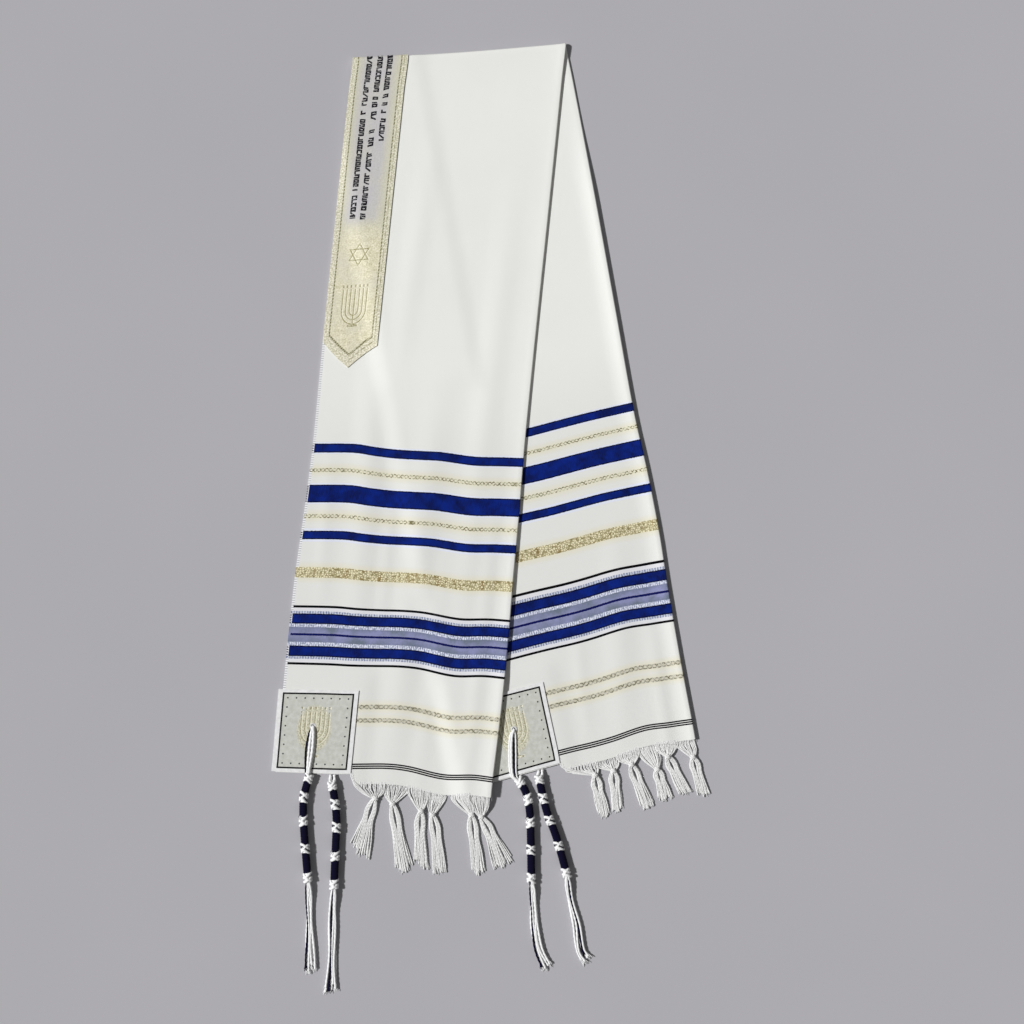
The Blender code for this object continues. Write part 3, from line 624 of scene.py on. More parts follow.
cloudy = speckle(place, 9.0, 3.0)
colour = dye(cloudy, pigment(230, 231, 226), pigment(236, 236, 232))
colour = dye(gradual(above, 0.33, 0.50), pigment(224, 224, 221), colour)
beside = stripe(uneven, (*BESIDE_BARS, *INSIDE_LINES))
colour = dye(stripe(uneven, BESIDE_BARS), colour, pigment(221, 225, 239))
colour = dye(stripe(uneven, INSIDE_LINES), colour, pigment(222, 222, 226))
gold_rows = (*CHAIN_ROWS, *ROPE_ROWS, LATTICE)
cream = any_of(*(
    clamp(abs(above - middle / 1000) * (-1000 / HAZE) + (1.0 + half / HAZE)) for middle, half in gold_rows
))
colour = dye(cream * (1.0 - beside), colour, pigment(224, 220, 200))
edge = (patchy * 0.0016 + across) < SELVEDGE + 0.0016
hemmed = dye(wave(down, 0.0029) > 0.2, pigment(238, 238, 240), pigment(186, 187, 190))
colour = dye(edge, colour, hemmed)

# The lilac ground is greyer towards its bright borders, and patchy: a fine mottle of the weave, and broad
# lighter and darker patches that are painted shade of soft folds
off = abs(above - NAVY_LINE[0] / 1000)
lilac = off * -80.0 + stretch(patchy, 2.6) + (speckle(place, 420.0) - 0.5) * 0.8 + 0.45
lilac_colour = dye(clamp(lilac), pigment(108, 118, 134), pigment(140, 143, 182))
colour = dye(stripe(uneven, (LILAC_GROUND,)), colour, lilac_colour)
chunks = speckle(squeezed(place, 1.0, 0.6), 620.0, 1.0)
crumbs = wave(across, 0.0027) * 0.22 + stretch(chunks, 3.2, 0.5)
bright = dye(clamp(crumbs), pigment(126, 134, 162), pigment(228, 231, 245))
colour = dye(stripe(uneven, BRIGHT_ROWS), colour, bright)
ticks = wave(across, 0.0032) * 0.5 + stretch(chunks, 4.0) * 0.9
ticks = dye(clamp(ticks), pigment(204, 208, 220), pigment(118, 126, 156))
colour = dye(stripe(uneven, TICK_ROWS), colour, ticks)

# The navy bars: a darker edge, fine streaks of the dye, and broad dark blotches that are painted shade of
# soft folds
bars = stripe(uneven, NAVY_BARS)
middles = stripe(uneven, [(middle, half - 1.7) for middle, half in NAVY_BARS])
streaks = stretch(speckle(squeezed(place, 900.0, 160.0), 1.0), 2.6)
painted_fold_shade = stretch(patchy, 3.2) * 0.75
depth = clamp(middles * (streaks * 0.5 + painted_fold_shade))
colour = dye(bars * inner, colour, dye(depth, pigment(10, 18, 60), pigment(10, 36, 124)))
overlock = (across < 0.0015) * (wave(down, 0.003) > 0.0)
colour = dye(bars * overlock, colour, pigment(14, 16, 52))
colour = dye(stripe(uneven, (NAVY_LINE,)) * inner, colour, pigment(16, 22, 82))
colour = dye(stripe(above, BLACK_LINES) * inner, colour, pigment(10, 10, 13))

# Metal threads: two rows of chain, a speckled lattice and two rows of open braid. Their pale stretches are
# painted glints; between them the thread is dull, and dark brown in places
dull_between_glints = stretch(speckle(place, 300.0), 6.0)
dark = stretch(speckle(squeezed(place, 1.0, 0.3), 85.0), 5.0, 0.64)
rings = []
for rows, pitch, line, filled, pale, deep in (
    (CHAIN_ROWS, 0.0047, 0.00075, 0.0, pigment(214, 211, 184), pigment(104, 98, 60)),
    (ROPE_ROWS, 0.0058, 0.00085, 0.35, pigment(196, 193, 180), pigment(116, 111, 90)),
):
    for middle, half in rows:
        off = abs(above - middle / 1000)
        swing = abs(wave(across, 2 * pitch) * (half / 1000))
        row = stripe(uneven, ((middle, half + 0.4),))
        ring = any_of(around(off, swing, line), dark * 0.8, filled) * row
        colour = dye(ring, colour, dye(any_of(dull_between_glints, dark), pale, deep))
        rings.append(ring)
cells = {"Vector": place, "Scale": 370.0, "Randomness": 0.7}
net = new_node("TexVoronoi", cells, feature="DISTANCE_TO_EDGE")[0] < dark * 0.1 + 0.12
# The lattice's thread is pale in painted glints and duller between them
thread_colour = dye(dull_between_glints, pigment(184, 174, 138), pigment(138, 128, 88))
thread_colour = dye(dark, thread_colour, pigment(134, 110, 62))
in_lattice = stripe(uneven, (LATTICE,))
colour = dye(in_lattice, colour, dye(net, pigment(228, 220, 186), thread_colour))
gold = any_of(*rings, in_lattice * net)

thread = wave(across, 0.0011) * wave(down, 0.0011)
shade = thread * 0.02 + (fuzz - 0.5) * 0.05 + 0.98
raised = bars * 0.15 + thread * 0.5 + fuzz * 0.8 + gold * 0.9
finish_surface(shader, colour, shade, raised, 0.00018)
feed(shader.inputs["Roughness"], gold * -0.38 + 0.88)
feed(shader.inputs["Metallic"], gold * 0.2)
cloth.data.materials.append(woven)
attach(cloth, "root")
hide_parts("shawl_cloth")

# ---- The neckband ----
# A strip of cream and gold brocade, 68 mm by 0.78 m, with pointed ends. It is sewn on along the middle of
# the neck edge, so it runs over the top fold, with a row of stitches inside its border. A woven panel and
# the gold emblems fill its middle.

NECKBAND_WIDTH = 0.068
NECKBAND_SIDE = {"front": (0.3526, 0.3626), "rear": (0.362, 0.368)}
NECKBAND_TIP = {"front": 0.388, "rear": 0.394}
NECKBAND_ROWS = 70
NECKBAND_COLUMNS = 20
FOLD_ARC = 0.0090
FOLD_TO_POINT = 0.36
POINT_SLANT = 0.46
STITCH_INSET = 0.0074
PANEL_LENGTH = 0.208
PANEL_MIDDLE = 0.0325
# The middle of each column of figures across the strip, and how far from the fold its last one is
FIGURE_COLUMNS = ((0.0212, 0.202), (0.0340, 0.204), (0.0462, 0.108))
FIGURE_PITCH = 0.0053
MENORAH_DOWN = 0.316
NECK_MENORAH = {"size": 0.0148, "line": 0.00065, "rise": 1.8, "foot": 1.2}
STAR_DOWN = 0.247
STAR_SIZE = 0.0066
STAR_LINE = 0.0007


def neckband_end(band, across):
    side = mix(NECKBAND_SIDE[band], across / NECKBAND_WIDTH)
    return side + (1.0 - abs(2.0 * across / NECKBAND_WIDTH - 1.0)) * (NECKBAND_TIP[band] - side)


def neckband_row(band, share, lift):
    """One row of the strip: its points, and each one's place across, from the fold and from the point."""
    points, places = [], []
    way = 1.0 if band == "front" else -1.0
    for i in range(NECKBAND_COLUMNS + 1):
        across = NECKBAND_WIDTH * i / NECKBAND_COLUMNS
        end = neckband_end(band, across)
        points.append(shawl_point((band, share * end / band_length(band, across)), across, lift))
        places.append((across, way * (share * end + FOLD_ARC / 2), (1.0 - share) * end))
    return points, places


neck_rows = [neckband_row("rear", 1.0 - i / NECKBAND_ROWS, PAD_LIFT) for i in range(NECKBAND_ROWS)]
columns = [NECKBAND_WIDTH * j / NECKBAND_COLUMNS for j in range(NECKBAND_COLUMNS + 1)]
for i in range(TOP_FOLD_STEPS + 1):
    station = ("fold", math.pi * (1.0 - i / TOP_FOLD_STEPS))
    points = [shawl_point(station, across, PAD_LIFT) for across in columns]
    past_fold = FOLD_ARC * (i / TOP_FOLD_STEPS - 0.5)
    neck_rows.append((points, [(across, past_fold, FOLD_TO_POINT) for across in columns]))
neck_rows += [neckband_row("front", (i + 1) / NECKBAND_ROWS, PAD_LIFT) for i in range(NECKBAND_ROWS)]
neckband = cloth_shell(
    "atarah_brocade", [points for points, _ in neck_rows], [places for _, places in neck_rows], PAD_WALL
)


def inside(value, low, high):
    """1 where a value lies between two others."""
    return (value > low) * (value < high)


def menorah(side, up, size, line, rise, foot):
    """A plain menorah: three nested bowls whose arms rise beside a stem, with a foot and seven flames."""
    side = abs(side)
    low = up * 0.86
    reach = calc("SQRT", side * side + low * low)
    branch = inside(up, 0.0, size * rise)
    flame = inside(up, size * (rise + 0.12), size * (rise + 0.34))
    lines = [
        (side < line) * inside(up, -size * foot, 0.0),
        (side < size * 0.42) * inside(up, -size * (foot + 0.2), -size * foot),
    ]
    for share in (0.0, 0.36, 0.68, 1.0):
        if share:
            lines.append(around(reach, size * share, line) * (up < 0.0))
        lines.append(around(side, size * share, line) * branch)
        lines.append(around(side, size * share, line * 1.4) * flame)
    return any_of(*lines)


def woven_star(side, up, size, line):
    """A plain six-pointed star of two outlined triangles."""
    outlines = []
    for flip in (1.0, -1.0):
        high = up * flip
        slanted = high * 0.5 + abs(side) * math.sin(math.pi / 3)
        outlines.append(around(any_of(high * -1.0, slanted), size, line))
    return any_of(*outlines)


brocade, tree, shader = finish_of("cream_gold_brocade", 0.7, sheen=0.05)
across, signed_down, to_end = new_node("SeparateXYZ", {"Vector": read(tree, "place", "Vector")})
place = new_node("CombineXYZ", {"X": across, "Y": signed_down})[0]
down = abs(signed_down) - FOLD_ARC / 2
from_middle = across - NECKBAND_WIDTH / 2
beside = NECKBAND_WIDTH / 2 - abs(from_middle)
inset = calc("MINIMUM", beside, to_end * POINT_SLANT)

fine = speckle(place, 520.0)
coarse = speckle(place, 160.0, 4.0)
slow = speckle(place, 30.0)
figured = stretch(coarse, 3.0)
ground = dye(figured * 0.5 + stretch(fine, 4.0) * 0.5, pigment(191, 185, 152), pigment(236, 231, 206))
ground = dye(stretch(slow, 3.0, 0.55), ground, pigment(212, 208, 188))
ground = dye(gradual(down, 0.236, 0.195) * 0.85, ground, pigment(198, 196, 178))
rim = dye(stretch(fine, 5.0), pigment(184, 180, 152), pigment(232, 228, 210))
colour = dye((inset < STITCH_INSET) * 0.75, ground, rim)

# A faint lilac tint behind three columns of small woven figures, each of a few short bars
tint = clamp(abs(across - PANEL_MIDDLE) * (-1 / 0.01) + 2.5)
tint *= clamp(down * (-1 / 0.014) + (PANEL_LENGTH / 0.014 + 0.5))
colour = dye(clamp(tint * (slow * 0.9 + 0.2)), colour, pigment(186, 184, 192))
for column, (middle, last) in enumerate(FIGURE_COLUMNS):
    spot = slow * 2.4 + down * (1 / FIGURE_PITCH) + (0.3 * column + 5.0)
    cell = calc("FLOOR", spot)
    luck = new_node("TexWhiteNoise", {"W": cell + 41.0 * column}, noise_dimensions="1D")[0]
    fall = (spot - cell - 0.5) * FIGURE_PITCH
    off = across - middle
    bars = (
        around(fall, -0.0014, 0.00104) * inside(off, -0.0028, 0.0034) * inside(luck, 0.11, 0.78),
        around(fall, 0.0014, 0.00104) * inside(off, -0.0036, 0.0028) * inside(luck, 0.24, 0.92),
        around(off, 0.0024, 0.0011) * (abs(fall) < 0.0022) * inside(luck, 0.16, 0.62),
        around(off, -0.0025, 0.00105) * (fall > -0.0022) * inside(luck, 0.11, 0.34),
        around(off, -0.0025, 0.00105) * (fall > -0.0022) * inside(luck, 0.48, 0.84),
        around(fall, off * 0.65, 0.0011) * (abs(off) < 0.0034) * (luck > 0.9),
    )
    worn_away = stretch(fine + coarse * 0.3, 6.0, 0.46)
    colour = dye(any_of(*bars) * (down < last) * worn_away, colour, pigment(14, 13, 22))

# The menorah and the star of gold thread, and beside each of their lines a pale one: a painted highlight
# along the raised thread
emblem, pale = (
    any_of(
        menorah(place_across, MENORAH_DOWN - down, **NECK_MENORAH),
        woven_star(place_across, STAR_DOWN - down, STAR_SIZE, STAR_LINE),
    )
    for place_across in (from_middle, from_middle - 0.0013)
)
colour = dye(pale * 0.7, colour, pigment(238, 233, 210))
colour = dye(emblem * stretch(fine, 2.5, 0.42), colour, pigment(140, 134, 84))

dashes = wave(down + across, 0.0042) * 0.45 + stretch(fine, 5.0, 0.46)
stitch = around(inset, STITCH_INSET, 0.00072) * clamp(dashes)
second = around(inset, STITCH_INSET - 0.0034, 0.0005) * stretch(coarse, 5.0, 0.48) * (from_middle > 0.0)
colour = dye(stitch, colour, pigment(108, 104, 60))
colour = dye(second * 0.8, colour, pigment(132, 130, 92))
raised = figured * 0.6 + fine + emblem - stitch * 2.0
finish_surface(shader, colour, (fine - 0.5) * 0.3 + 1.0, raised, 0.00022)
neckband.data.materials.append(brocade)
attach(neckband, "root")
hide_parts("atarah_neckband")

# ---- Corner patches ----
# Four squares of silver-grey brocade, about 100 mm, sewn over the corners with a white border, a black
# line, a row of black dots and a gold emblem. Each has a whipped eyelet that its tassel is tied through.

PATCH_OUT = 0.005
PATCH_CELLS = 48
PATCH_WIDTH = CORNER_WIDTH + PATCH_OUT
PATCH_HEIGHT = 0.0995
EYELET_RADIUS = 0.0034
EYELET_OVER_TABLE = 0.0012
WHIPPING_TURNS = 26
WHIPPING_YARN = 0.00032
# From the patch's edges to its black line, and the dots' places inside that line
LINE_INSET = {"left": 0.0066, "right": 0.0058, "top": 0.0046, "bottom": 0.0050}
LINE_HALF = 0.00105
DOT_INSET = 0.0054
DOT_COUNT = 8
DOT_RADIUS = 0.00100
EMBLEM_UP = 0.0530
PATCH_MENORAH = {"size": 0.0165, "line": 0.00065, "rise": 1.25, "foot": 1.9}
HALO_UP = 0.0525
HALO_WIDE = 0.0200
HALO_TALL = 0.0275


def smooth_route(points, count):
    """Evenly spread points on a smooth curve through a few given ones."""
    shares = [0.0]
    for near, far in zip(points, points[1:]):
        shares.append(shares[-1] + (far - near).length)
    guide = {"share": [share / shares[-1] for share in shares]}
    for axis in range(3):
        guide[axis] = [point[axis] for point in points]
    spots = [i / (count - 1) for i in range(count)]
    return [Vector([table_value(guide, axis, spot) for axis in range(3)]) for spot in spots]


def twist_cord(
    tubes, route, radius, sides, depth, plies=2, pitch=0.006, phase=0.0, thin=0.55, closed=False, tone=0.0
):
    """Adds a closed tube along a route. Its section has a lobe for each ply, and turns along the way."""
    points = np.array([tuple(point) for point in route])
    count = len(points)
    if closed:
        step = np.roll(points, -1, axis=0) - np.roll(points, 1, axis=0)
    else:
        step = np.gradient(points, axis=0)
    heading = step / np.linalg.norm(step, axis=1, keepdims=True)
    side = np.zeros_like(points)
    start = np.cross(heading[0], (0.0, 0.0, 1.0))
    if np.linalg.norm(start) < 0.2:
        start = np.cross(heading[0], (1.0, 0.0, 0.0))
    side[0] = start / np.linalg.norm(start)
    for i in range(1, count):
        turned = side[i - 1] - heading[i] * np.dot(side[i - 1], heading[i])
        side[i] = turned / np.linalg.norm(turned)
    over = np.cross(side, heading)
    length = np.concatenate([[0.0], np.cumsum(np.linalg.norm(np.diff(points, axis=0), axis=1))])
    angle = 2 * math.pi * np.arange(sides)[None, :] / sides
    twist = plies * angle - 2 * math.pi * length[:, None] / pitch + phase
    size = np.full(count, radius)
    if not closed:
        size[[0, -1]] *= thin
    ring = size[:, None] * (1.0 - depth + depth * np.cos(twist))
    verts = points[:, None, :] + (ring * np.cos(angle))[:, :, None] * side[:, None, :]
    verts += (ring * np.sin(angle))[:, :, None] * over[:, None, :]
    base = len(tubes["verts"])
    tubes["verts"].extend(verts.reshape(-1, 3).tolist())
    for i in range(count if closed else count - 1):
        for j in range(sides):
            a, b = i * sides + j, i * sides + (j + 1) % sides
            c, d = (b + sides) % (count * sides), (a + sides) % (count * sides)
            tubes["faces"].append((base + a, base + d, base + c, base + b))
    if not closed:
        last = base + (count - 1) * sides
        tubes["faces"].append(tuple(range(base, base + sides)))
        tubes["faces"].append(tuple(reversed(range(last, last + sides))))
    tubes["tones"].extend([tone] * (count * sides))


def full_turn(count):
    return [2 * math.pi * i / count for i in range(count)]


def new_tubes():
    return {"verts": [], "faces": [], "tones": []}


def tubes_object(name, tubes, finish):
    """One piece from the tubes, with the tone of each as an attribute for its dye."""
    mesh = bpy.data.meshes.new(name)
    mesh.from_pydata(tubes["verts"], [], tubes["faces"])
    mesh.polygons.foreach_set("use_smooth", [True] * len(mesh.polygons))
    tone = mesh.attributes.new("tone", "FLOAT", "POINT")
    tone.data.foreach_set("value", tubes["tones"])
    mesh.materials.append(finish)
    made = put(bpy.data.objects.new(name, mesh))
    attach(made, "root")
    return made


def yarn_finish(name, roughness, plain, wound):
    """Soft cotton yarn: a plain dye, and a second dye where the tone is 1, with loose fibres."""
    made, tree, shader = finish_of(name, roughness, sheen=0.04, specular=0.06)
    spot = own_place(tree)
    fibre = speckle(spot, 1400.0, 3.0)
    pale = dye(speckle(spot, 180.0), plain, tuple(part * 1.06 for part in plain))
    deep = dye(fibre, wound, tuple(part * 1.5 for part in wound))
    finish_surface(
        shader, dye(read(tree, "tone", "Fac"), pale, deep), fibre * 0.24 + 0.88, fibre, 0.00025, 0.8
    )
    return made


NAVY_CORD = pigment(8, 6, 30)
white_yarn = yarn_finish("white_yarn", 0.9, pigment(228, 228, 228), NAVY_CORD)

silver, tree, shader = finish_of("silver_grey_brocade", 0.7, sheen=0.05)
place = read(tree, "place", "Vector")
side, high, _ = new_node("SeparateXYZ", {"Vector": place})
left = side - LINE_INSET["left"]
bottom = high - LINE_INSET["bottom"]
by_side = calc("MINIMUM", left, PATCH_WIDTH - LINE_INSET["right"] - side)
by_end = calc("MINIMUM", PATCH_HEIGHT - LINE_INSET["top"] - high, bottom)
inset = calc("MINIMUM", by_side, by_end)
fine = speckle(place, 800.0)
figured = stretch(speckle(place, 190.0, 4.0), 3.0)
ground = dye(figured, pigment(183, 184, 176), pigment(198, 199, 192))
trim = dye(figured, pigment(214, 214, 214), pigment(230, 230, 230))
colour = dye(inset < 0.0, ground, trim)

# The emblem of gold thread, on a ground of small cream leaves that thins out to all sides
from_middle = side - PATCH_WIDTH * 0.488
wide = from_middle * (1 / HALO_WIDE)
tall = (high - HALO_UP) * (1 / HALO_TALL)
glow = clamp((wide * wide + tall * tall) * -2.5 + 3.0)
leafy = speckle(place, 430.0)
leaf_colour = dye(stretch(leafy, 5.0), pigment(172, 167, 134), pigment(222, 217, 192))
colour = dye(glow * 0.66, colour, leaf_colour)
specks = glow * stretch(speckle(place, 620.0, 1.0), 9.0, 0.61)
colour = dye(specks * 0.75, colour, pigment(146, 139, 98))
worked = stretch(leafy, 6.0, 0.5)
# Beside each line of the menorah a pale one: a painted highlight along the raised thread
emblem, pale = (
    menorah(place_across, high - EMBLEM_UP, **PATCH_MENORAH)
    for place_across in (from_middle, from_middle - 0.0016)
)
colour = dye(pale * (0.75 - worked * 0.6), colour, pigment(240, 236, 214))
colour = dye(emblem * (worked * 0.9), colour, pigment(128, 122, 84))

line = around(inset, 0.0, LINE_HALF)
black = [line]
for run_along, run_in, length in (
    (left, by_end, PATCH_WIDTH - LINE_INSET["left"] - LINE_INSET["right"]),
    (bottom, by_side, PATCH_HEIGHT - LINE_INSET["top"] - LINE_INSET["bottom"]),
):
    pitch = (length - 2 * DOT_INSET) / (DOT_COUNT - 1)
    spot = (run_along - DOT_INSET) * (1 / pitch)
    numbered = {"Value": calc("ROUND", spot), "Min": 0.0, "Max": DOT_COUNT - 1.0}
    phase = (spot - new_node("Clamp", numbered)[0]) * pitch
    off = run_in - DOT_INSET
    black.append(phase * phase + off * off < DOT_RADIUS**2)
black = any_of(*black)
colour = dye(black, colour, dye(line, pigment(44, 48, 50), pigment(12, 12, 13)))
raised = figured * 0.5 + fine + emblem * 0.35 + black * 0.8
finish_surface(shader, colour, (fine - 0.5) * 0.14 + 1.0, raised, 0.0002)


def eyelet_point(band, lift):
    across, above = EYELETS[band]
    return shawl_point((band, 1.0 - above / band_length(band, across)), across, lift)


# Each patch, its band, and 1 for the side outside the top fold or -1 for the side inside it
PATCHES = (
    ("corner_patch_front_upper", "front", 1.0),
    ("corner_patch_front_lower", "front", -1.0),
    ("corner_patch_rear_upper", "rear", -1.0),
    ("corner_patch_rear_lower", "rear", 1.0),
)
columns = [PATCH_WIDTH * j / PATCH_CELLS for j in range(PATCH_CELLS + 1)]
for name, band, outward in PATCHES:
    below_line = BANDS[band]["corner_end"]
    tall = PATCH_TOP[band] + (PATCH_BOTTOM_ROW - 1.0) * below_line
    points, places = [], []
    for i in range(PATCH_CELLS + 1):
        height = PATCH_TOP[band] - tall * i / PATCH_CELLS
        row = 1.0 - height / (band_length(band, 0.0) if height > 0.0 else below_line)
        points.append([shawl_point((band, row), x - PATCH_OUT, outward * PAD_LIFT) for x in columns])
        places.append([(x, (1.0 - i / PATCH_CELLS) * PATCH_HEIGHT, 0.0) for x in columns])
    patch = cloth_shell(name + "_brocade", points, places, PAD_WALL)
    hole = eyelet_point(band, outward * PAD_LIFT)
    bpy.ops.mesh.primitive_cylinder_add(
        vertices=24, radius=EYELET_RADIUS - 0.0006, depth=0.004, location=hole
    )
    pin = bpy.context.object
    cut = patch.modifiers.new("eyelet", "BOOLEAN")
    cut.operation = "DIFFERENCE"
    cut.object = pin
    graph = bpy.context.evaluated_depsgraph_get()
    patch.data = bpy.data.meshes.new_from_object(patch.evaluated_get(graph))
    patch.modifiers.clear()
    bpy.data.objects.remove(pin)
    patch.data.materials.clear()
    patch.data.materials.append(silver)
    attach(patch, "root")
    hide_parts(name)

    hole.z = max(hole.z, EYELET_OVER_TABLE)
    ring = []
    for angle in full_turn(8 * WHIPPING_TURNS):
        wrap = WHIPPING_TURNS * angle
        reach = EYELET_RADIUS - 0.0003 + 0.0009 * math.cos(wrap)
        place = (reach * math.cos(angle), reach * math.sin(angle), 0.0007 * math.sin(wrap))
        ring.append(hole + Vector(place))
    whipping = new_tubes()
    twist_cord(whipping, ring, WHIPPING_YARN, sides=5, depth=0.0, closed=True)
    eyelet = tubes_object(name + "_eyelet", whipping, white_yarn)

# ---- The fringe ----
# Twelve bundles, three at the end of each layer of cloth. Each is the cloth's own warp ends, twisted into
# yarns, drawn together from a stretch of the hem, tied in one overhand knot and left loose below it.

FLOOR_CLEARANCE = 0.0004
FAN_YARNS = 19
TAIL_YARNS = 15
EDGE_YARNS = 5
FAN_SPARE = 2.4
# A bundle that starts before this, in millimetres across, takes in the yarns of the corner's step as well
CORNER_FAN = 110
HEM_FIBRES = 95
FAN_RADIUS = 0.00078
YARN_RADIUS = 0.00088
KNOT_RADIUS = 0.0031
# Along the loose yarns: how far the two locks stand from their middle, and how wide each is
LOCKS = ((0.10, 0.0030, 0.0040), (0.24, 0.0043, 0.0052), (0.42, 0.0040, 0.0062))
# Each bundle, in millimetres across from the open edges and below the first black line: the stretch of hem
# that its fan starts from, its knot, its ends and how far it bows aside
BUNDLES = {
    "front_upper": (
        {"fan": (103, 131), "knot": (122.9, 42.5), "bow": -1.5,
         "tails": ((99.5, 99), (106, 107), (114.5, 113), (121.5, 120))},
        {"fan": (163, 186), "knot": (179.5, 49.5), "bow": -2.0,
         "tails": ((180.0, 111), (187.0, 117), (194.0, 119))},
        {"fan": (217, 234), "knot": (240.5, 49.3),
         "tails": ((249.8, 119.2), (255.5, 123), (262.0, 116))},
    ),
    "front_lower": (
        {"fan": (134, 160), "knot": (144.4, 47.8),
         "tails": ((158.5, 125), (165.0, 129.5), (170.5, 126.0), (174.0, 118))},
        {"fan": (189, 205), "knot": (193.7, 50.5), "bow": 1.5,
         "tails": ((203.0, 122), (209.5, 119.5), (216.0, 120.5))},
        {"fan": (237, 258), "knot": (252.5, 50.5), "bow": 2.5,
         "tails": ((275.5, 112.5), (284.0, 111.0), (294.5, 101.0))},
    ),
    "rear_upper": (
        {"fan": (104, 134), "knot": (130.7, 39.8),
         "tails": ((126.5, 88), (132.3, 91.2), (138.6, 91.9))},
        {"fan": (165, 188), "knot": (177.7, 40.1),
         "tails": ((181.9, 96.6), (188.0, 99), (195.4, 98.4))},
        {"fan": (214, 236), "knot": (224.0, 41.2), "tails": ((232.0, 87.4), (238.0, 89), (244.1, 88))},
    ),
    "rear_lower": (
        {"fan": (137, 162), "knot": (154.2, 40.5),
         "tails": ((145.6, 87.6), (150.5, 90), (156.2, 87.7))},
        {"fan": (191, 211), "knot": (208.3, 55.0),
         "tails": ((204.9, 93.4), (211.5, 95), (221.1, 93.1))},
        {"fan": (239, 258), "knot": (254.8, 46.4), "tails": ((254.0, 92), (259.5, 95.5), (266.2, 94))},
    ),
}

warp_yarn = yarn_finish("warp_yarn", 0.9, pigment(218, 218, 217), NAVY_CORD)


def below_hem(band, across, below):
    """A place on the table in band terms: across, and below the first black line."""
    return plan(band, across, band_length(band, across) + below)


def at(place, height):
    """A place in plan, brought to a height over the table."""
    return Vector((place.x, place.y, height))


def side_of(run):
    return Vector((-run.y, run.x, 0.0)).normalized()


def jitter(chance, reach):
    return chance.uniform(-reach, reach)


def hoop(centre, heading, angle, wide, high, slide=0.0):
    """A place on a turn round a bundle: wide to its side, high over it and slid along it."""
    over = Vector((0.0, 0.0, high * math.sin(angle)))
    return centre + heading * slide + side_of(heading) * (wide * math.cos(angle)) + over


def fray(tubes, root, tip, bend, radius, tone=0.0):
    """One loose fibre at the end of a yarn."""
    route = smooth_route([root, root.lerp(tip, 0.5) + bend, tip], 8)
    twist_cord(tubes, route, radius, sides=4, depth=0.0, tone=tone)


def warp_fan(tubes, bundle, band, lift, knot, chance):
    """The yarns that run together from the hem into a knot, and from the corner's step into the first."""
    low = FLOOR_CLEARANCE + FAN_RADIUS
    left, right = bundle["fan"]
    starts = []
    for i in range(FAN_YARNS):
        share = (i + jitter(chance, 0.3)) / (FAN_YARNS - 1)
        across = mix((left - FAN_SPARE, right + FAN_SPARE), share) / 1000
        across = min(max(across, CORNER_WIDTH + CORNER_STEP), BAND_WIDTH - 0.0012)
        starts.append((share, across, HEM_END, 1.0))
    if left < CORNER_FAN:
        for i in range(EDGE_YARNS):
            share = (i + 0.5 + jitter(chance, 0.2)) / EDGE_YARNS
            step = mix((BANDS[band]["corner_end"], HEM_END), share)
            starts.append((-0.25 + 0.2 * share, CORNER_WIDTH + CORNER_STEP * share + 0.0008, step, 0.6))
    for share, across, below, reach in starts:
        row = 2.0 if below == HEM_END else 1.0 + below / HEM_END
        hem = shawl_point((band, row), across, lift)
        out = below_hem(band, across, below + (0.004 + 0.002 * chance.random()) * reach)
        start = hem + (at(out, hem.z) - hem) * -0.6
        stop = knot + Vector((1.7 * KNOT_RADIUS * (share - 0.5), 0.0, jitter(chance, 0.0008)))
        middle = at(out, max(hem.z - 0.0004, low)).lerp(stop, 0.45)
        middle += side_of(stop - start) * jitter(chance, 0.0010)
        middle.x += 0.0030 * (share - 0.5)
        middle.z = max(low, middle.z + chance.uniform(-0.0003, 0.0006))
        route = smooth_route([start, at(out, max(hem.z, low)), middle, stop], 20)
        radius = FAN_RADIUS * chance.uniform(0.8, 1.2)
        twist_cord(tubes, route, radius, sides=6, depth=0.14, pitch=0.0046, phase=chance.uniform(0, 6))


def overhand_knot(tubes, knot, chance, heading):
    """A small knot: two turns of the bundle round itself, over a firm middle."""
    high = 0.75 * (KNOT_RADIUS - 0.0006)
    for turn in (-1.0, 1.0):
        for strand in (-0.5, 0.5):
            ring = []
            for angle in full_turn(20):
                slide = 0.0011 * strand + 0.0016 * turn * math.cos(angle)
                ring.append(hoop(knot, heading, angle, KNOT_RADIUS, high, slide))
            phase = chance.random()
            twist_cord(tubes, ring, 0.00090, sides=6, depth=0.1, pitch=0.004, phase=phase, closed=True)
    core = [knot + heading * (0.0009 * (i - 4)) for i in range(9)]
    twist_cord(tubes, core, 0.0021, sides=8, depth=0.1, plies=3)


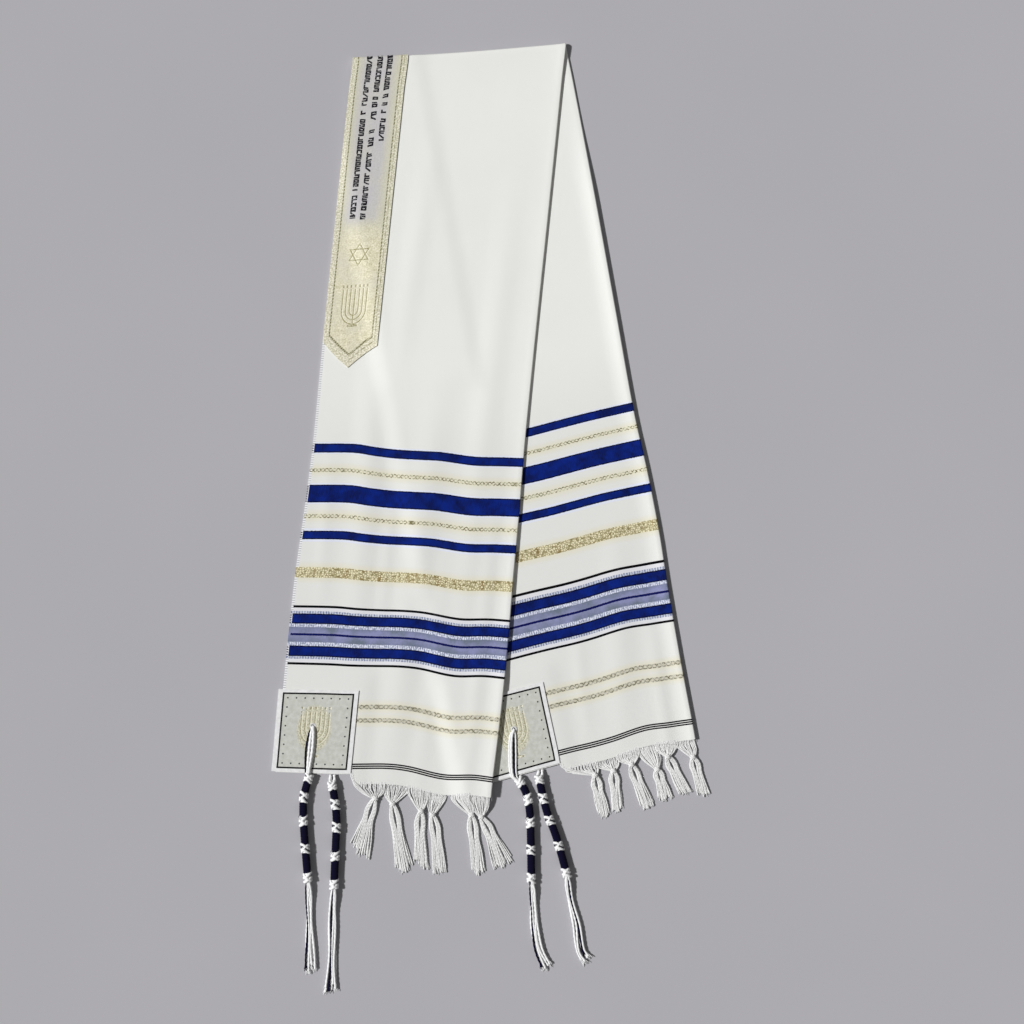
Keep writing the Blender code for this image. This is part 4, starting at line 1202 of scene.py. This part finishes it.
def loose_yarns(tubes, bundle, band, knot, chance):
    """The yarns below a knot: two locks that part at once, touch again and fray at their ends."""
    low = FLOOR_CLEARANCE + YARN_RADIUS
    foot = at(knot, 0.0)
    ends = [at(below_hem(band, across / 1000, below / 1000), 0.0) for across, below in bundle["tails"]]
    straight = sum(ends, Vector((0.0, 0.0, 0.0))) / len(ends) - foot
    bow = bundle.get("bow", 0.0) / 1000
    for i in range(2 * TAIL_YARNS):
        lock, j = divmod(i, TAIL_YARNS)
        sign = 2 * lock - 1
        layer = j % 2
        inner = (j + 0.5) / TAIL_YARNS - 0.5
        spot = (0.5 * lock + 0.25 + 0.56 * inner) * (len(ends) - 1)
        spot = min(max(spot, 0.0), len(ends) - 1.001)
        end = at(ends[int(spot)].lerp(ends[int(spot) + 1], spot - int(spot)), low)
        run = (end - knot).normalized()
        out = side_of(run)
        if out.x < 0.0:
            out = -out
        end += out * (jitter(chance, 0.0012) + 0.0035 * inner) - run * chance.uniform(-0.002, 0.006)
        beside = Vector((0.0, 0.0, 0.0010 * layer - 0.0004)) + out * (0.0011 * sign + 0.0022 * inner)
        points = [knot + beside]
        for share, gap, width in LOCKS:
            point = foot + straight * share
            point += out * (bow * math.sin(math.pi * share) + gap * sign + width * inner)
            point = point.lerp(foot.lerp(at(end, 0.0), share), max(0.0, 1.6 * (share - 0.24)))
            point += out * jitter(chance, 0.0003)
            point.z = low + layer * 0.0012 + (knot.z - low) * max(0.0, 0.55 - 2.6 * share)
            points.append(point)
        near_end = points[-1].lerp(end, 0.5) + out * jitter(chance, 0.0008)
        near_end.z = low + layer * 0.0010
        end.z = low + 0.0004 * layer
        route = smooth_route([*points, near_end, end], 56)
        radius = YARN_RADIUS * chance.uniform(0.85, 1.12)
        phase = chance.uniform(0, 6)
        twist_cord(tubes, route, radius, sides=6, depth=0.13, pitch=0.0050, phase=phase, thin=0.4)
        if j % 3 == 0:
            tip = end + run * chance.uniform(0.0005, 0.0025) + out * jitter(chance, 0.0035)
            fray(tubes, near_end.lerp(end, 0.4), tip, out * 0.0005, 0.00032)


for layer, bundles in BUNDLES.items():
    band, level = layer.split("_")
    outside = 1.0 if (band == "front") == (level == "upper") else -1.0
    chance = random.Random("fringe " + layer)
    yarns = new_tubes()
    for bundle in bundles:
        lifted = 0.0010 if level == "upper" else 0.0
        place = below_hem(band, bundle["knot"][0] / 1000, bundle["knot"][1] / 1000)
        knot = at(place, FLOOR_CLEARANCE + KNOT_RADIUS * 0.85 + lifted)
        from_hem = shawl_point((band, 2.0), sum(bundle["fan"]) / 2000, 0.0)
        warp_fan(yarns, bundle, band, outside * LAYER_LIFT, knot, chance)
        overhand_knot(yarns, knot, chance, at(knot - from_hem, 0.0).normalized())
        loose_yarns(yarns, bundle, band, knot, chance)
    for i in range(HEM_FIBRES):
        across = mix((CORNER_WIDTH + CORNER_STEP, BAND_WIDTH - 0.0015), (i + chance.random()) / HEM_FIBRES)
        hem = shawl_point((band, 2.0), across, outside * LAYER_LIFT)
        out = below_hem(band, across + jitter(chance, 0.0012), HEM_END + chance.uniform(0.0008, 0.0034))
        tip = at(out, hem.z + chance.uniform(-0.0001, 0.0002))
        back = hem + (hem - tip) * 0.4
        twist_cord(yarns, [back.lerp(tip, k / 3) for k in range(4)], 0.00036, sides=4, depth=0.0)
    fringe = tubes_object("fringe_" + layer + "_yarns", yarns, warp_yarn)
    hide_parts("fringe_" + layer)

# ---- The tzitzit ----
# Four cords doubled through each corner's eyelet make eight strands. One is navy and longer: it is wound
# round the others in four stretches of 7, 8, 11 and 13 turns, with a double knot before, between and
# after them, and the eight ends hang loose.

STEM_KNOT_RADIUS = 0.0058
STEM_WINDING_RADIUS = 0.0049
STEM_FLATNESS = 0.82
STEM_PARTS = (
    ("knot", 0.0090, 0), ("winding", 0.0123, 7), ("knot", 0.0140, 0), ("winding", 0.0150, 8),
    ("knot", 0.0130, 0), ("winding", 0.0220, 11), ("knot", 0.0120, 0), ("winding", 0.0230, 13),
    ("knot", 0.0120, 0),
)
LOOP_RADIUS = 0.0019
LOOP_SPREAD = 0.0022
# The strands over a patch: radius, tone, then each one's place sideways at five spots down the loop, mm
LOOP_STRANDS = {
    "front": (
        (0.00190, 0.0, (-0.2, -0.3, -1.0, -1.4, -0.2)),
        (0.00200, 0.0, (0.3, 0.5, 1.6, 2.6, 1.0)),
        (0.00120, 1.0, (-0.6, -0.9, -3.6, -5.6, -2.4)),
        (0.00080, 0.0, (0.5, 0.9, 3.2, 5.0, 2.2)),
    ),
    "rear": (
        (0.00190, 0.0, (-0.3, -0.3, -2.6, -4.0, -3.0)),
        (0.00170, 0.0, (-0.6, -0.6, -4.6, -6.4, -5.0)),
        (0.00120, 1.0, (0.0, 0.0, -0.6, -1.0, -0.4)),
        (0.00110, 0.0, (0.6, 0.6, 1.6, 1.6, 1.6)),
    ),
}
CORD_RADIUS = 0.00108
LOOSE_WIDTH = 0.0025
RAGGED_STEPS = 8.8
NAVY_OVER_KNOTS = (2, 4, 6)
HEM_CLEARANCE = 0.0010
# The way down from the eyelet to the patch's edge, and the height over the patch, of a strand's first spots
EYELET_LOOP = ((0.00, -0.30), (0.03, 0.83), (0.13, 1.00), (0.50, 1.00), (1.00, 1.00))
# Routes over the table, in millimetres to the right of the top fold's left end and down from it. Then which
# loose cord is navy, and how far the loop leans aside at the hem, or where it comes out from under the hem
TZITZIT = {
    "tzitzit_front_upper": {
        "stem": ((-53.0, 882.6), (-59.5, 907.6), (-60.7, 928.6), (-59.0, 960.6), (-54.7, 1014.1)),
        "loose": ((-53.7, 1036.6), (-52.5, 1085.6), (-51.6, 1126.6)),
        "hem_shift": -0.0010,
        "navy": (0, 1),
    },
    "tzitzit_front_lower": {
        "stem": ((-25.8, 891.1), (-22.1, 912.6), (-19.8, 937.2), (-20.8, 968.0), (-23.1, 1022.6)),
        "loose": ((-24.7, 1049.6), (-25.7, 1097.6), (-27.0, 1151.6)),
        "navy": (1, 1),
        "across": 0.0690,
    },
    "tzitzit_rear_upper": {
        "stem": ((203.3, 887.1), (213.5, 905.6), (217.5, 928.6), (218.7, 959.4), (219.5, 1015.6)),
        "loose": ((222.5, 1042.6), (223.5, 1070.6), (228.5, 1095.9), (240.8, 1121.7)),
        "hem_shift": -0.0085,
        "navy": (0, 1),
    },
    "tzitzit_rear_lower": {
        "stem": ((228.5, 884.6), (232.5, 903.6), (238.5, 927.6), (250.0, 958.6), (264.1, 1008.6)),
        "loose": ((266.5, 1030.6), (275.0, 1064.6), (280.0, 1098.6), (289.5, 1112.6)),
        "navy": (2, 1),
        "across": 0.0655,
    },
}


def table_place(right, down, height):
    return Vector((FOLD_LEFT.x + right / 1000, FOLD_LEFT.y - down / 1000, height))


def stem_place(path, share):
    """A place along a stem, and the stem's heading there."""
    spot = min(max(share, 0.0), 1.0) * (len(path) - 1)
    index = min(int(spot), len(path) - 2)
    heading = (path[min(index + 2, len(path) - 1)] - path[max(index - 1, 0)]).normalized()
    return path[index].lerp(path[index + 1], spot - index), heading


def wind(tubes, path, start, stop, turns):
    """The navy cord's turns round the stem, each against the next."""
    coil = []
    steps = int(turns * 14)
    for i in range(steps + 1):
        centre, heading = stem_place(path, start + (stop - start) * i / steps)
        reach = STEM_WINDING_RADIUS - 0.0010
        coil.append(hoop(centre, heading, 2 * math.pi * i / 14, reach, STEM_FLATNESS * reach))
    twist_cord(tubes, coil, 0.00118, sides=7, depth=0.03, pitch=0.003, tone=1.0)


def double_knot(tubes, centre, heading, length, chance, navy_turn):
    """Two white half knots drawn tight, seen as crossed turns, sometimes with the navy cord over them."""
    turn = chance.choice((-1.0, 1.0))
    for slide, tilt, thick in ((-0.24, 1.0, 0.0018), (-0.02, -1.3, 0.0020), (0.24, 0.8, 0.0018)):
        reach = STEM_KNOT_RADIUS - thick
        ring = []
        for angle in full_turn(22):
            slid = length * slide + turn * tilt * 0.0032 * math.cos(angle + 0.4 * tilt)
            wide = reach * (1.0 + 0.08 * math.cos(2 * angle + tilt))
            ring.append(hoop(centre, heading, angle, wide, STEM_FLATNESS * reach, slid))
        phase = chance.random()
        twist_cord(tubes, ring, thick, sides=10, depth=0.05, pitch=0.005, phase=phase, closed=True)
    if navy_turn:
        reach = STEM_KNOT_RADIUS - 0.0006
        ring = []
        for angle in full_turn(22):
            slid = length * 0.10 * turn + 0.0046 * math.cos(angle + 0.6 * turn)
            ring.append(hoop(centre, heading, angle, reach, STEM_FLATNESS * reach, slid))
        twist_cord(tubes, ring, 0.00062, sides=6, depth=0.1, pitch=0.003, closed=True, tone=1.0)


def wound_stem(tubes, path, chance):
    """A core with the windings and the double knots in turn."""
    stem_length = sum((far - near).length for near, far in zip(path, path[1:]))
    total = sum(length for _, length, _ in STEM_PARTS)
    core = STEM_WINDING_RADIUS - 0.0014
    twist_cord(tubes, path[1:-1], core, sides=10, depth=0.08, plies=4, pitch=0.03)
    passed = 0.0
    for index, (kind, length, turns) in enumerate(STEM_PARTS):
        start, stop = passed / total, (passed + length) / total
        passed += length
        if kind == "winding":
            closer = 1.0 if length / turns < 0.0018 else 1.05
            wind(tubes, path, start - 0.006, stop + 0.006, turns * closer)
        else:
            centre, heading = stem_place(path, (start + stop) / 2)
            length = (stop - start) * stem_length
            double_knot(tubes, centre, heading, length, chance, index in NAVY_OVER_KNOTS)


def eyelet_loop(tubes, band, first, hem_shift):
    """The strands that come up through the eyelet and lie over the patch, down to the stem."""
    hole = eyelet_point(band, 0.0)
    patch_top = hole.z + PAD_LIFT + PAD_WALL / 2
    edge = shawl_point((band, PATCH_BOTTOM_ROW), EYELETS[band][0], 0.0)
    leave = at(edge, hole.z).lerp(at(first, hole.z), 0.3)
    leave.x += hem_shift
    for radius, tone, places in LOOP_STRANDS[band]:
        over = Vector((0.0, 0.0, patch_top + radius - hole.z))
        guide = [
            hole.lerp(leave, way) + Vector((place / 1000, 0.0, 0.0)) + over * rise
            for (way, rise), place in zip(EYELET_LOOP, places)
        ]
        guide.append(first + Vector((places[-1] * 0.4 / 1000, 0.0, 0.0)))
        twist_cord(tubes, smooth_route(guide, 60), radius, sides=10, depth=0.1, tone=tone)


def hem_loop(tubes, band, first, across):
    """The two sides of the loop that come out from under the corner's hem."""
    for side in (-1.0, 1.0):
        shift = Vector((side * LOOP_SPREAD, 0.0, 0.0))
        stop = first + shift * 0.9
        out = below_hem(band, across + side * LOOP_SPREAD, BANDS[band]["corner_end"] + HEM_CLEARANCE)
        hem = at(out, FLOOR_CLEARANCE + LOOP_RADIUS)
        route = smooth_route([hem, hem.lerp(stop, 0.5) + shift * 0.3, stop], 40)
        twist_cord(tubes, route, LOOP_RADIUS, sides=10, depth=0.1, phase=side)


def loose_cords(tubes, middle, stem_height, navy, chance):
    """The eight ends in two layers of four. They spread, sway and are cut raggedly."""
    last = len(middle) - 1
    for i in range(8):
        column, upper = i % 4, i // 4
        height = FLOOR_CLEARANCE + CORD_RADIUS + LOOSE_WIDTH * 0.72 * upper
        sway = chance.uniform(0.0, 6.28)
        slack = 0.0005 * (1.0 + 1.4 * chance.random())
        route = []
        for step in range(last - round(RAGGED_STEPS * (i * 5 % 8) / 8)):
            share = step / last
            heading = (middle[min(step + 1, last)] - middle[max(step - 1, 0)]).normalized()
            spread = LOOSE_WIDTH * (0.72 + 0.22 * share + 0.7 * share**4) * ease(share, -0.08, 0.12)
            swing = slack * math.sin(sway + 9.0 * share) * ease(share, 0.05, 0.3)
            place = middle[step] + side_of(heading) * ((column - 1.5) * spread + swing)
            place.z = mix((stem_height + (upper - 0.5) * LOOSE_WIDTH, height), ease(share, 0.0, 0.3))
            route.append(place)
        tone = 1.0 if (column, upper) == navy else 0.0
        radius = CORD_RADIUS * (1.42 - 0.1 * tone)
        twist_cord(tubes, route, radius, 8, 0.12, plies=3, pitch=0.0064, phase=sway, thin=0.6, tone=tone)
        heading = (route[-1] - route[-4]).normalized()
        for _ in range(5):
            tip = route[-1] + heading * chance.uniform(-0.001, 0.004)
            tip += side_of(heading) * jitter(chance, 0.003)
            tip.z = max(0.0009, tip.z + chance.uniform(-0.001, 0.0004))
            fray(tubes, route[-6], tip, Vector((0.0, 0.0, 0.0003)), 0.00036, tone)


for name, facts in TZITZIT.items():
    chance = random.Random(name)
    tassel = new_tubes()
    stem_height = FLOOR_CLEARANCE + STEM_FLATNESS * STEM_KNOT_RADIUS + 0.0003
    path = smooth_route([table_place(right, down, stem_height) for right, down in facts["stem"]], 80)
    wound_stem(tassel, path, chance)
    band = name.split("_")[1]
    if "hem_shift" in facts:
        eyelet_loop(tassel, band, path[2], facts["hem_shift"])
    else:
        hem_loop(tassel, band, path[2], facts["across"])
    ends = [table_place(right, down, 0.0) for right, down in facts["loose"]]
    loose_cords(tassel, smooth_route([at(path[-3], 0.0), *ends], 90), stem_height, facts["navy"], chance)
    made = tubes_object(name + "_cords", tassel, white_yarn)
    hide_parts(name)
